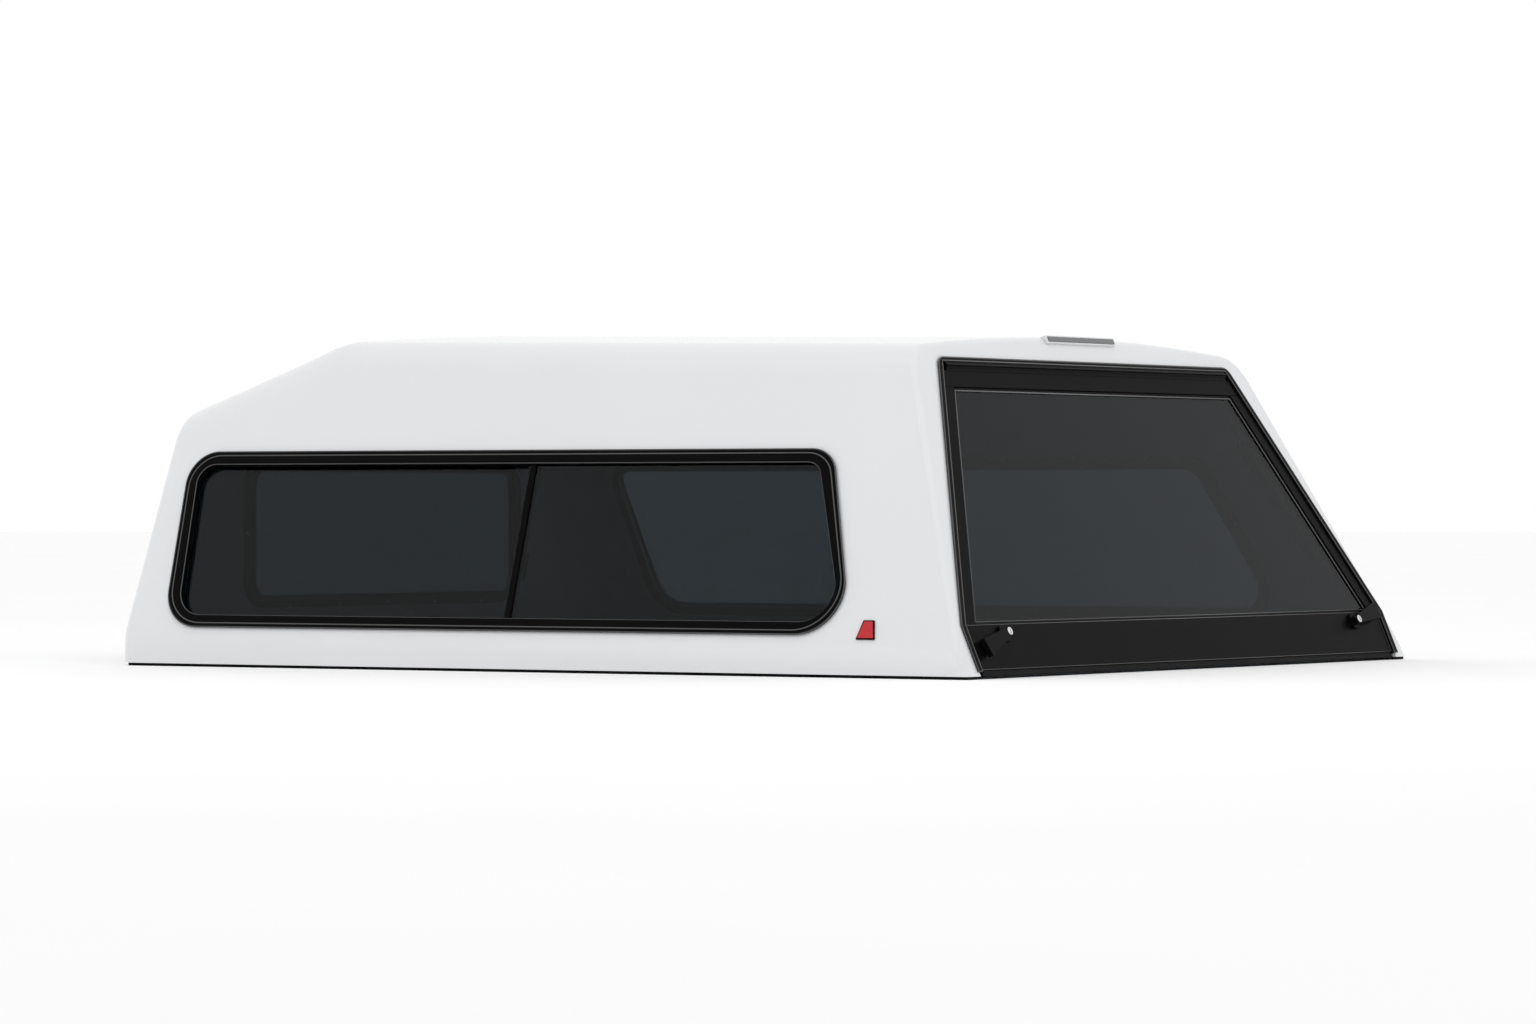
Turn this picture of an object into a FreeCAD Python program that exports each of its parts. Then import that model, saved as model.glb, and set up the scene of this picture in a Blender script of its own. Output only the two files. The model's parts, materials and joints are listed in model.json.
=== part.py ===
"""High-rise fibreglass canopy for a full-size pickup bed.

+X is the vehicle's right, +Y its front, +Z up.  z = 0 is the underside of the
rail seal, where the canopy rests on the bed rails, and the origin is the
middle of that face.  All lengths are in millimetres.
"""
import FreeCAD, Part
import math
import os
import re

import Sketcher

# Driving dimensions: name, value, what it sets.
SIZES = (
    ("length", 2046, "overall length along the bed rails"),
    ("width", 1888, "overall width at the bed rails"),
    ("wall", 6, "laminate thickness"),
    ("rail_seal_height", 6, "foam seal between the rails and the shell"),
    ("rail_seal_width", 48, "width of that seal"),
    ("rail_seal_inset", 7, "how far the seal sits in from the shell's edge"),
    ("flange_width", 62, "inward flange round the shell's base"),
    ("side_slope", 0.43, "inward lean of the sides, per unit of height"),
    ("foot_height", 4, "upright foot of the side, at the rear"),
    ("bow_radius", 120, "curve from the upright foot into the leaning side"),
    ("roof_edge_radius", 100, "round between side and roof"),
    ("roof_crown_radius", 8200, "crown across the roof"),
    ("roof_height_rear", 672, "roof height at the rear, on the centre line"),
    ("roof_height_front", 704, "roof height at the front, before the nose"),
    ("nose_height", 526, "top of the upright front wall"),
    ("nose_slope", 0.4, "rise of the sloping nose, per unit of length"),
    ("rear_slope", 0.43, "forward lean of the rear face, per unit of height"),
    ("rear_corner_radius", 18, "round between the rear face and the sides"),
    ("nose_corner_radius", 34, "round between the front wall and the sides"),
    ("nose_crest_radius", 100, "soft round between the nose and the roof"),
    ("border_margin", 44.6, "from the shell's side to the black door border, below its knee"),
    ("border_taper", 0.5145, "how fast that border narrows up the rear face"),
    ("border_knee", 112, "height below which the border's edge is upright"),
    ("border_drop", 56.4, "top of the border, below the roof's line on the rear face"),
    ("border_corner", 30, "outer corner radius of the border"),
    ("seal_width", 14, "width of the door seal"),
    ("seal_lip", 7, "part of the seal that lies on the shell's face"),
    ("seal_proud", 4, "height of the seal above the shell's face"),
    ("seal_depth", 10, "depth of the seal's inner leg"),
    ("door_gap", 6, "running gap round the rear door"),
    ("door_depth", 24, "depth of the door's frame"),
    ("door_foot", 20, "lower edge of the door's bottom rail"),
    ("stile_width", 36, "width of the door's side members"),
    ("top_rail_height", 34, "height of the door's top rail"),
    ("bottom_rail_top", 112, "top of the door's bottom rail"),
    ("pane_thickness", 5, "thickness of the door's glass"),
    ("pane_setback", 5, "how far the glass sits below the frame's face"),
    ("glazing_width", 7, "width of the door's glazing rubber"),
    ("sweep_drop", 13, "how far the rubber sweep hangs below the door"),
    ("sweep_thickness", 4, "thickness of that sweep"),
    ("hinge_drop", 12, "hinge axis below the shell's opening"),
    ("bead_radius", 4.5, "round bead of the door's hinge"),
    ("bead_clearance", 0.3, "running gap round that bead"),
    ("channel_wall", 2.7, "wall of the hinge channel on the shell"),
    ("web_thickness", 2.4, "web between the bead and the door's top rail"),
    ("hinge_mouth", 10, "reach of the cut that frees the web"),
    ("hinge_end_gap", 8, "gap between the hinge's end and the seal"),
    ("window_bottom", 88, "lower edge of a side window, up the side"),
    ("window_foot_lap", 12, "reach of a side window below the top of the bowed foot at the nose"),
    ("window_drop", 250.5, "upper edge of a side window, below the roof's line on the side"),
    ("window_front_low", 116, "front lower corner, behind the canopy's front"),
    ("window_front_high", 72, "front upper corner, behind the canopy's front"),
    ("window_rear_low", 273, "rear lower corner, ahead of the canopy's rear"),
    ("window_rear_high", 403, "rear upper corner, ahead of the canopy's rear"),
    ("window_corner_low", 92, "radius of the lower corners"),
    ("window_corner_high", 66, "radius of the upper corners"),
    ("window_band", 26, "width of the window's outer flange"),
    ("window_spigot", 12, "width of the frame inside the wall"),
    ("window_proud", 6, "height of that flange above the shell"),
    ("window_depth", 22, "depth of the frame inside the shell"),
    ("window_fit", 0.5, "gap between the frame and the cut in the shell"),
    ("clamp_width", 14, "width of the clamp ring inside"),
    ("clamp_thickness", 4, "thickness of the clamp ring"),
    ("side_pane_thickness", 4, "thickness of the side panes"),
    ("outer_pane_setback", 4, "outer pane below the shell's face"),
    ("pane_spacing", 8, "distance between the two panes' faces"),
    ("mullion_low", 58, "lower end of the meeting rail, forward of the middle"),
    ("mullion_high", 86, "upper end of the meeting rail"),
    ("mullion_width", 14, "width of the meeting rail"),
    ("mullion_proud", 3, "height of the meeting rail on the outer pane"),
    ("pane_overlap", 24, "overlap of the two panes"),
    ("latch_length", 60, "length of a pane's pull latch"),
    ("latch_width", 18, "width of that latch"),
    ("latch_height", 12, "height of that latch"),
    ("latch_rise", 150, "height of the latch above the window's edge"),
    ("nose_window_half", 520, "half width of the front window"),
    ("nose_window_low", 112, "lower edge of the front window"),
    ("nose_window_high", 432, "upper edge of the front window"),
    ("nose_window_corner", 60, "corner radius of the front window"),
    ("reflector_place", 238, "middle of a side reflector, ahead of the canopy's rear"),
    ("reflector_low", 80, "lower edge of that reflector, up the side"),
    ("reflector_height", 40, "height of that reflector"),
    ("reflector_width", 42, "width of its lower edge"),
    ("reflector_top", 24, "width of its upper edge"),
    ("reflector_rim", 2.5, "width of its black bezel"),
    ("reflector_proud", 5, "height of its lens"),
    ("lamp_half", 138, "half width of the high brake lamp's lens"),
    ("lamp_rim", 6, "width of its housing beyond the lens"),
    ("lamp_height", 11, "height of the lamp's lens"),
    ("lamp_drop", 7.4, "middle of the lens, below the roof's line on the rear face"),
    ("lamp_proud", 8, "how far the lens stands out of the rear face"),
    ("handle_inset", 149.4, "pivot of a door handle, in from the black border's edge"),
    ("handle_height", 91, "pivot of a door handle, up the rear face"),
    ("handle_base_half", 16, "half width of a handle's base plate"),
    ("handle_base_corner", 5, "corner cut off that plate"),
    ("handle_base_height", 6, "height of that base"),
    ("lever_gap", 0.4, "gap between lever and base"),
    ("arm_length", 108, "reach of a handle's lever from its pivot"),
    ("arm_tip", 12, "reach of the lever behind its pivot"),
    ("arm_root", 17, "width of the lever at its tip"),
    ("arm_end", 37, "width of the lever's paddle"),
    ("arm_thickness", 11, "thickness of the lever"),
    ("left_arm_angle", 17, "rest angle of the left lever"),
    ("right_arm_angle", 11, "rest angle of the right lever"),
    ("lock_radius", 5.5, "lock cylinder in the lever"),
    ("lock_proud", 1.5, "height of the lock above the lever"),
    ("lock_depth", 6, "depth of the lock in the lever"),
    ("spindle_radius", 5, "spindle from lever to latch cam"),
    ("spindle_clearance", 0.3, "running gap round that spindle"),
    ("cam_gap", 6, "gap between the cam and the door's frame"),
    ("cam_thickness", 4, "thickness of the latch cam"),
    ("cam_reach", 112, "reach of the latch cam"),
    ("cam_width", 18, "width of the latch cam"),
    ("keeper_length", 34, "height of a latch keeper"),
    ("keeper_depth", 16, "depth of a latch keeper"),
    ("keeper_width", 8, "width of a latch keeper"),
    ("keeper_margin", 3, "distance of the keeper from the opening"),
    ("strut_low", 400, "strut's shell pivot below the hinge axis"),
    ("strut_high", 100, "strut's door pivot below the hinge axis"),
    ("strut_low_inset", 54.7, "shell pivot, in from the black border's edge"),
    ("strut_high_inset", 51.4, "door pivot, in from the black border's edge"),
    ("strut_setback", 47, "strut pivots behind the rear face"),
    ("strut_tube_radius", 9, "gas strut's tube"),
    ("strut_rod_radius", 4, "gas strut's rod"),
    ("strut_rod_clearance", 0.3, "running gap round the rod"),
    ("strut_eye_radius", 8, "end fittings of the strut"),
    ("strut_eye_width", 10, "width of those fittings"),
    ("strut_neck", 12, "fitting between eye and tube"),
    ("strut_tube_floor", 12, "solid end of the tube"),
    ("strut_head", 44, "from the tube's end to the door pivot, shut"),
    ("rod_engagement", 40, "rod left in the tube with the door open"),
    ("stud_radius", 3.5, "studs that carry the strut's ends"),
    ("low_stud_gap", 2.8, "from the strut's lower eye to the stud on the shell"),
    ("high_stud_gap", 9.8, "from its upper eye to the stud on the door, for its play"),
    ("plate_reach", 3.4, "from that stud's end to the door bracket's plate"),
    ("bracket_thickness", 4, "plate of the strut brackets"),
    ("bracket_half", 9, "half height of the door's strut bracket"),
    ("bracket_base", 14, "half height of the shell's strut bracket"),
    ("bracket_foot", 12, "width of that bracket's foot"),
    ("seat_gap", 0.3, "glue line under a bracket or keeper"),
    ("door_opening_angle", 68, "how far the rear door opens"),
)

doc = FreeCAD.newDocument("canopy")
sheet = doc.addObject("Spreadsheet::Sheet", "Sizes")
for row, (alias, number, meaning) in enumerate(SIZES, start=1):
    sheet.set(f"A{row}", alias)
    sheet.set(f"B{row}", str(number))
    sheet.set(f"C{row}", meaning)
    sheet.setAlias(f"B{row}", alias)
doc.recompute()

ALIASES = {alias for alias, number, meaning in SIZES}
pieces = []


def with_sheet(expression):
    """Put the sheet's name before each alias of an expression."""
    def full(word):
        return "Sizes." + word.group(0) if word.group(0) in ALIASES else word.group(0)
    return re.sub(r"[a-z_]+", full, str(expression))


def value(expression):
    """Number that an expression of the sheet's names gives."""
    return float(sheet.evalExpression(with_sheet(expression)))


def bind(item, name, expression):
    item.setExpression(name, with_sheet(expression))


def frame(origin, x_axis, y_axis, z_axis):
    """Placement with the given origin and local axes."""
    matrix = FreeCAD.Matrix(
        x_axis[0], y_axis[0], z_axis[0], origin[0],
        x_axis[1], y_axis[1], z_axis[1], origin[1],
        x_axis[2], y_axis[2], z_axis[2], origin[2])
    return FreeCAD.Placement(matrix)


def side_name(side):
    return "left" if side < 0 else "right"


def rear_frame(across="0", up="0", turn=0.0):
    """Frame on the rear face: x to the right, y up the face, z outwards."""
    lean = math.atan(value("rear_slope"))
    up_face = (0, math.sin(lean), math.cos(lean))
    outward = (0, -math.cos(lean), math.sin(lean))
    base = frame((0, -value("length") / 2, 0), (1, 0, 0), up_face, outward)
    shift = FreeCAD.Vector(value(across), value(up), 0)
    spin = FreeCAD.Rotation(FreeCAD.Vector(0, 0, 1), turn)
    return base.multiply(FreeCAD.Placement(shift, spin))


def side_frame(side):
    """Frame on a side: local x is side times the vehicle's +Y, y up the side."""
    lean = math.atan(value("side_slope"))
    tilt = roof_tilt()
    outward = tilt.Rotation.multVec(FreeCAD.Vector(side * math.cos(lean), 0, math.sin(lean)))
    level = FreeCAD.Vector(0, 0, 1).cross(outward).normalize()
    half, rail = side_knee()
    knee = tilt.multVec(FreeCAD.Vector(side * half, 0, rail))
    return frame((knee.dot(outward) / outward.x, 0, 0), level, outward.cross(level), outward)


def nose_frame():
    """Frame on the front wall: y up, z forwards."""
    return frame((0, value("length") / 2, 0), (-1, 0, 0), (0, 0, 1), (0, 1, 0))


def roof_tilt():
    """Placement that raises the section's run towards the front."""
    rise = value("roof_height_front") - value("roof_height_rear")
    angle = math.degrees(math.atan2(rise, value("length")))
    pivot = FreeCAD.Vector(0, -value("length") / 2, value("rail_seal_height"))
    return FreeCAD.Placement(FreeCAD.Vector(), FreeCAD.Rotation(FreeCAD.Vector(1, 0, 0), angle), pivot)


def side_knee():
    """Half width and height where the bowed foot meets the leaning side."""
    lean = math.atan(value("side_slope"))
    bow = value("bow_radius")
    start = value("rail_seal_height") + value("foot_height")
    return value("width") / 2 - bow * (1 - math.cos(lean)), start + bow * math.sin(lean)


def new_body(label, placement):
    body = doc.addObject("PartDesign::Body", label)
    body.Label = label
    body.Placement = placement
    pieces.append(body)
    return body


def plane_of(body, role):
    return next(item for item in body.Origin.OriginFeatures if item.Role == role)


def new_sketch(body, start="0", role="XY_Plane"):
    sketch = body.newObject("Sketcher::SketchObject", body.Name + "_sketch")
    sketch.AttachmentSupport = [(plane_of(body, role), "")]
    sketch.MapMode = "FlatFace"
    bind(sketch, "AttachmentOffset.Base.z", start)
    return sketch


def add_loop(sketch, points):
    """Closed outline through points, each held by its two coordinates."""
    corners = [FreeCAD.Vector(value(a), value(b), 0) for a, b in points]
    first = sketch.GeometryCount
    count = len(corners)
    for index in range(count):
        sketch.addGeometry(Part.LineSegment(corners[index], corners[(index + 1) % count]))
    for index in range(count):
        sketch.addConstraint(Sketcher.Constraint(
            "Coincident", first + index, 2, first + (index + 1) % count, 1))
    for index, (across, up) in enumerate(points):
        for kind, expression, number in (("DistanceX", across, corners[index].x),
                                         ("DistanceY", up, corners[index].y)):
            rule = sketch.addConstraint(Sketcher.Constraint(
                kind, -1, 1, first + index, 1, number))
            bind(sketch, f"Constraints[{rule}]", expression)


def add_circle(sketch, radius, across="0", up="0"):
    centre = FreeCAD.Vector(value(across), value(up), 0)
    ring = sketch.addGeometry(Part.Circle(centre, FreeCAD.Vector(0, 0, 1), value(radius)))
    for kind, expression, number in (("DistanceX", across, centre.x), ("DistanceY", up, centre.y)):
        rule = sketch.addConstraint(Sketcher.Constraint(kind, -1, 1, ring, 3, number))
        bind(sketch, f"Constraints[{rule}]", expression)
    rule = sketch.addConstraint(Sketcher.Constraint("Radius", ring, value(radius)))
    bind(sketch, f"Constraints[{rule}]", radius)


def add_pad(body, sketch, length, both_ways=False):
    pad = body.newObject("PartDesign::Pad", body.Name + "_pad")
    pad.Profile = sketch
    bind(pad, "Length", length)
    pad.Midplane = both_ways
    sketch.Visibility = False
    doc.recompute()
    return pad


def add_pocket(body, sketch, length, both_ways=False):
    """Pocket from the sketch towards local +z, or both ways from it."""
    pocket = body.newObject("PartDesign::Pocket", body.Name + "_pocket")
    pocket.Profile = sketch
    bind(pocket, "Length", length)
    pocket.Midplane = both_ways
    pocket.Reversed = not both_ways
    doc.recompute()
    return pocket


def pad_outline(body, loops, length, start="0", role="XY_Plane", both_ways=False):
    sketch = new_sketch(body, start, role)
    for points in loops:
        add_loop(sketch, points)
    return add_pad(body, sketch, length, both_ways)


def pad_circle(body, radius, length, start="0", across="0", up="0"):
    sketch = new_sketch(body, start)
    add_circle(sketch, radius, across, up)
    return add_pad(body, sketch, length)


def round_corners(body, feature, points, radius):
    """Fillet the edges that stand on the given corners of the outline."""
    corners = [(value(a), value(b)) for a, b in points]
    names = []
    for number, edge in enumerate(feature.Shape.Edges, start=1):
        ends = [vertex.Point for vertex in edge.Vertexes]
        if len(ends) < 2 or abs(ends[0].z - ends[1].z) < 0.01:
            continue
        upright = math.hypot(ends[0].x - ends[1].x, ends[0].y - ends[1].y) < 0.01
        if upright and any(math.hypot(a - ends[0].x, b - ends[0].y) < 0.01 for a, b in corners):
            names.append(f"Edge{number}")
    fillet = body.newObject("PartDesign::Fillet", body.Name + "_round")
    fillet.Base = (feature, names)
    bind(fillet, "Radius", radius)
    doc.recompute()
    return fillet


def polygon_face(points):
    corners = [FreeCAD.Vector(*point) for point in points]
    return Part.Face(Part.makePolygon(corners + corners[:1]))


def cap_section(inset):
    """Closed cross-section: upright foot, bow, leaning side, round and crown."""
    lean = math.atan(value("side_slope"))
    half = value("width") / 2 - inset
    rail = value("rail_seal_height") + value("foot_height")
    bow = value("bow_radius") - inset
    edge = value("roof_edge_radius") - inset
    crown = value("roof_crown_radius") - inset
    upward = FreeCAD.Vector(-math.sin(lean), 0, math.cos(lean))
    inward = FreeCAD.Vector(-math.cos(lean), 0, -math.sin(lean))
    bow_centre = FreeCAD.Vector(half - bow, 0, rail)
    knee = bow_centre - inward * bow
    crown_centre = FreeCAD.Vector(0, 0, value("roof_height_rear") - inset - crown)
    start = knee + inward * edge - crown_centre
    halfway = start.dot(upward)
    rise = math.sqrt(halfway ** 2 - start.dot(start) + (crown - edge) ** 2) - halfway
    edge_centre = knee + inward * edge + upward * rise
    to_roof = (edge_centre - crown_centre).normalize()
    foot = FreeCAD.Vector(half, 0, -half)
    start = FreeCAD.Vector(half, 0, rail)
    bow_middle = bow_centre + FreeCAD.Vector(math.cos(lean / 2), 0, math.sin(lean / 2)) * bow
    shoulder = edge_centre - inward * edge
    edge_middle = edge_centre + (to_roof - inward).normalize() * edge
    brow = crown_centre + to_roof * crown
    summit = crown_centre + FreeCAD.Vector(0, 0, crown)

    def left(point):
        return FreeCAD.Vector(-point.x, 0, point.z)

    return Part.Wire([
        Part.makeLine(foot, start),
        Part.Arc(start, bow_middle, knee).toShape(),
        Part.makeLine(knee, shoulder),
        Part.Arc(shoulder, edge_middle, brow).toShape(),
        Part.Arc(brow, summit, left(brow)).toShape(),
        Part.Arc(left(brow), left(edge_middle), left(shoulder)).toShape(),
        Part.makeLine(left(shoulder), left(knee)),
        Part.Arc(left(knee), left(bow_middle), left(start)).toShape(),
        Part.makeLine(left(start), left(foot)),
        Part.makeLine(left(foot), foot)])


def cap_profile(inset, foot):
    """Side silhouette that bounds the rear lean, the nose and the front wall."""
    half = value("length") / 2
    lean = math.atan(value("rear_slope"))
    fall = math.atan(value("nose_slope"))
    above = max(value("roof_height_front"), value("roof_height_rear")) + value("nose_crest_radius")
    below = foot
    rear = -half + inset / math.cos(lean)
    front = half - inset
    nose = value("nose_height") - inset / math.cos(fall) + inset * value("nose_slope")
    back = front - (above - nose) / value("nose_slope")
    points = [(0, rear + below * value("rear_slope"), below),
              (0, rear + above * value("rear_slope"), above),
              (0, max(back, rear + above * value("rear_slope") + 1), above),
              (0, front, nose),
              (0, front, below)]
    reach = value("width")
    solid = polygon_face(points).extrude(FreeCAD.Vector(2 * reach, 0, 0))
    solid.translate(FreeCAD.Vector(-reach, 0, 0))
    return solid


def behind_rear(point):
    """Distance of a point behind the rear face."""
    slope = value("rear_slope")
    return (point.y + value("length") / 2 - slope * point.z) / math.hypot(1, slope)


def edges_where(form, test, foot):
    """Edges whose ends and middle pass a test, without those round the foot."""
    chosen = []
    for edge in form.Edges:
        points = [vertex.Point for vertex in edge.Vertexes]
        points.append(edge.valueAt((edge.FirstParameter + edge.LastParameter) / 2))
        if all(test(point) for point in points) and any(abs(p.z - foot) > 0.01 for p in points):
            chosen.append(edge)
    return chosen


def cap_form(inset, foot):
    """The canopy's outer form, or the same shrunk by inset with a sharp rear edge."""
    half = value("length") / 2
    run = Part.Face(cap_section(inset)).extrude(FreeCAD.Vector(0, 6 * half, 0))
    run.translate(FreeCAD.Vector(0, -3 * half, 0))
    run.Placement = roof_tilt().multiply(run.Placement)
    form = run.common(cap_profile(inset, foot))
    fall = value("nose_slope")
    nose = value("nose_height") - inset * math.hypot(1, fall) + inset * fall

    def on_nose(point):
        return abs(point.z - nose - (half - inset - point.y) * fall) < 0.05

    def on_front(point):
        return abs(point.y - half + inset) < 0.05

    def on_rear(point):
        return abs(behind_rear(point) - inset) < 0.05

    crest = [edge for edge in edges_where(form, on_nose, foot)
             if not all(on_front(vertex.Point) for vertex in edge.Vertexes)]
    form = form.makeFillet(value("nose_crest_radius") - inset, crest)
    form = form.makeFillet(value("nose_corner_radius") - inset, edges_where(form, on_front, foot))
    if inset:
        return form
    return form.makeFillet(value("rear_corner_radius"), edges_where(form, on_rear, foot))


def prism(points, placement, low, high):
    """Solid on an outline of a local frame, between two heights over it."""
    corners = [(value(a), value(b), value(low)) for a, b in points]
    solid = polygon_face(corners).extrude(FreeCAD.Vector(0, 0, value(high) - value(low)))
    solid.Placement = placement
    return solid


def rounded_prism(points, radii, placement, low, high):
    """The same, with its upright edges rounded, one radius to a corner."""
    solid = prism(points, FreeCAD.Placement(), low, high)
    for (across, up), radius in zip(points, radii):
        place = FreeCAD.Vector(value(across), value(up), 0)
        upright = [edge for edge in solid.Edges if len(edge.Vertexes) == 2 and all(
            math.hypot(v.Point.x - place.x, v.Point.y - place.y) < 0.01 for v in edge.Vertexes)]
        solid = solid.makeFillet(value(radius), upright)
    solid.Placement = placement
    return solid


def border_half(up, inset="0"):
    """Half width of the door's tapered border at a height on the rear face, less an inset."""
    return f"(width/2-border_margin+border_taper*(border_knee-({up}))-({inset}))"


def border_outline(inset, top, foot="0"):
    """Door outline, inset sideways from the black border's edge."""
    at_top = border_half(top, inset)
    at_knee = border_half("border_knee", inset)
    return [(f"-{at_knee}", foot), (at_knee, foot), (at_knee, "border_knee"), (at_top, top),
            (f"-{at_top}", top), (f"-{at_knee}", "border_knee")]


def window_outline(side, inset):
    """Side window, inset from the outer edge of its flange."""
    low = f"({WINDOW_LOW}+({inset}))"
    high = f"({WINDOW_TOP}-({inset}))"
    corners = [(f"window_rear_low-length/2+({inset})", low),
               (f"length/2-window_front_low-({inset})", low),
               (f"length/2-window_front_high-({inset})", high),
               (f"window_rear_high-length/2+({inset})", high)]
    return [(f"{side}*({across})", up) for across, up in corners]


def window_radii(inset):
    return [f"window_corner_low-({inset})"] * 2 + [f"window_corner_high-({inset})"] * 2


def nose_outline(inset):
    half = f"(nose_window_half-({inset}))"
    low = f"nose_window_low+({inset})"
    high = f"nose_window_high-({inset})"
    return [(f"-{half}", low), (half, low), (half, high), (f"-{half}", high)]


BAND_IN = "window_band-window_spigot"
FOOT_TOP = ("((rail_seal_height+foot_height+roof_height_front-roof_height_rear)"
            "*sqrt(1+side_slope^2)+bow_radius*side_slope)")
WINDOW_LOW = f"max(window_bottom; {FOOT_TOP}-window_foot_lap)"
WINDOW_TOP = "(roof_height_rear*sqrt(1+side_slope^2)-window_drop)"
ROOF_RISE = "((roof_height_front-roof_height_rear)/length)"
ROOF_LINE = f"(roof_height_rear*sqrt(1+rear_slope^2)/(1-rear_slope*{ROOF_RISE}))"
BORDER_TOP = f"({ROOF_LINE}-border_drop)"
LAMP_PLACE = f"({ROOF_LINE}-lamp_drop)"
CUT_TOP = f"{BORDER_TOP}-seal_lip"
HINGE_AXIS = f"{CUT_TOP}-hinge_drop"
DOOR_TOP = f"{HINGE_AXIS}-bead_radius-bead_clearance-channel_wall-2"
HANDLE_PLACE = border_half("border_knee", "handle_inset")
STRUT_LOW_HALF = border_half(f"{HINGE_AXIS}-strut_low", "strut_low_inset")
STRUT_HIGH_HALF = border_half(f"{HINGE_AXIS}-strut_high", "strut_high_inset")


def solid_piece(label, shape):
    item = doc.addObject("Part::Feature", label)
    item.Label = label
    item.Shape = shape
    pieces.append(item)
    return item


def outer_form():
    rail = value("rail_seal_height")
    reach = 2 * value("length")
    above = Part.makeBox(2 * reach, 2 * reach, reach, FreeCAD.Vector(-reach, -reach, rail))
    return cap_form(0.0, -10 * value("wall")).common(above)


def make_shell(outer):
    """One-piece moulding: skin, base flange, rear rim and the cut openings."""
    rail = value("rail_seal_height")
    wall = value("wall")
    half_width = value("width") / 2
    half_length = value("length") / 2
    inner = cap_form(wall, -10 * wall)
    skin = outer.cut(inner)
    slab = Part.makeBox(2 * half_width, 2 * half_length, wall,
                        FreeCAD.Vector(-half_width, -half_length, rail)).common(outer)
    margin = value("flange_width")
    well = Part.makeBox(2 * (half_width - margin), 2 * half_length, 3 * wall,
                        FreeCAD.Vector(margin - half_width, -half_length - margin, rail - wall))
    shell = skin.fuse(slab.cut(well))
    door_cut = prism(border_outline("seal_lip", CUT_TOP), rear_frame(), "-5*wall", "5*wall")
    shell = shell.cut(door_cut)
    gap = f"{BAND_IN}-window_fit"
    for side in (-1, 1):
        shell = shell.cut(rounded_prism(window_outline(side, gap), window_radii(gap),
                                        side_frame(side), "-6*wall", "4*wall"))
    shell = shell.cut(rounded_prism(nose_outline(gap), [f"nose_window_corner-({gap})"] * 4,
                                    nose_frame(), "-4*wall", "4*wall"))
    return solid_piece("shell", shell.removeSplitter())


def make_rail_seal():
    body = new_body("rail_seal", FreeCAD.Placement())
    edge = "(width/2-rail_seal_inset)"
    inside = "(width/2-rail_seal_inset-rail_seal_width)"
    front = "(length/2-rail_seal_inset)"
    inner_front = "(length/2-rail_seal_inset-rail_seal_width)"
    rear = "(-length/2+rail_seal_inset)"
    outline = [(f"-{edge}", rear), (f"-{inside}", rear), (f"-{inside}", inner_front),
               (inside, inner_front), (inside, rear), (edge, rear), (edge, front), (f"-{edge}", front)]
    pad = pad_outline(body, [outline], "rail_seal_height")
    round_corners(body, pad, outline[6:], "nose_corner_radius-rail_seal_inset")


def make_door_seal():
    """Black rubber round the opening: a lip on the shell and a leg inside it."""
    body = new_body("door_seal", rear_frame())
    foot = "(rail_seal_height+seal_depth)"
    outer = border_outline("0", BORDER_TOP, foot)
    lip_in = border_outline("seal_width", CUT_TOP, foot)
    lip = [outer[0], outer[5], outer[4], outer[3], outer[2], outer[1],
           lip_in[1], lip_in[2], lip_in[3], lip_in[4], lip_in[5], lip_in[0]]
    pad = pad_outline(body, [lip], "seal_proud")
    for side in (-1, 1):
        edge = border_outline("seal_lip", CUT_TOP, foot)
        inside = border_outline("seal_width", CUT_TOP, foot)
        if side > 0:
            leg = [edge[1], edge[2], edge[3], inside[3], inside[2], inside[1]]
        else:
            leg = [edge[0], edge[5], edge[4], inside[4], inside[5], inside[0]]
        pad = pad_outline(body, [leg], "seal_depth", "-seal_depth")
    round_corners(body, pad, outer[3:5], "border_corner")


def make_hinge_rail():
    """Channel that holds the door's bead, with its fixing bar under the shell's edge."""
    body = new_body("hinge_rail", rear_frame(up=HINGE_AXIS))
    outside = "bead_radius+bead_clearance+channel_wall"
    half = border_half(CUT_TOP, "seal_width+hinge_end_gap")
    bar = [("bead_radius+bead_clearance+channel_wall/2", "-seal_depth/2"), ("hinge_drop", "-seal_depth/2"),
           ("hinge_drop", "seal_proud"), ("bead_radius+bead_clearance+channel_wall/2", "seal_proud")]
    sketch = new_sketch(body, role="YZ_Plane")
    add_circle(sketch, outside)
    add_pad(body, sketch, f"2*{half}", both_ways=True)
    pad_outline(body, [bar], f"2*{half}", role="YZ_Plane", both_ways=True)
    sketch = new_sketch(body, role="YZ_Plane")
    add_circle(sketch, "bead_radius+bead_clearance")
    add_pocket(body, sketch, f"2*{half}+2", both_ways=True)
    mouth = [("0", "0"), ("-hinge_mouth", "-0.36*hinge_mouth"), ("-hinge_mouth", "hinge_mouth"),
             ("0.08*hinge_mouth", "hinge_mouth")]
    sketch = new_sketch(body, role="YZ_Plane")
    add_loop(sketch, mouth)
    add_pocket(body, sketch, f"2*{half}+2", both_ways=True)


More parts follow.
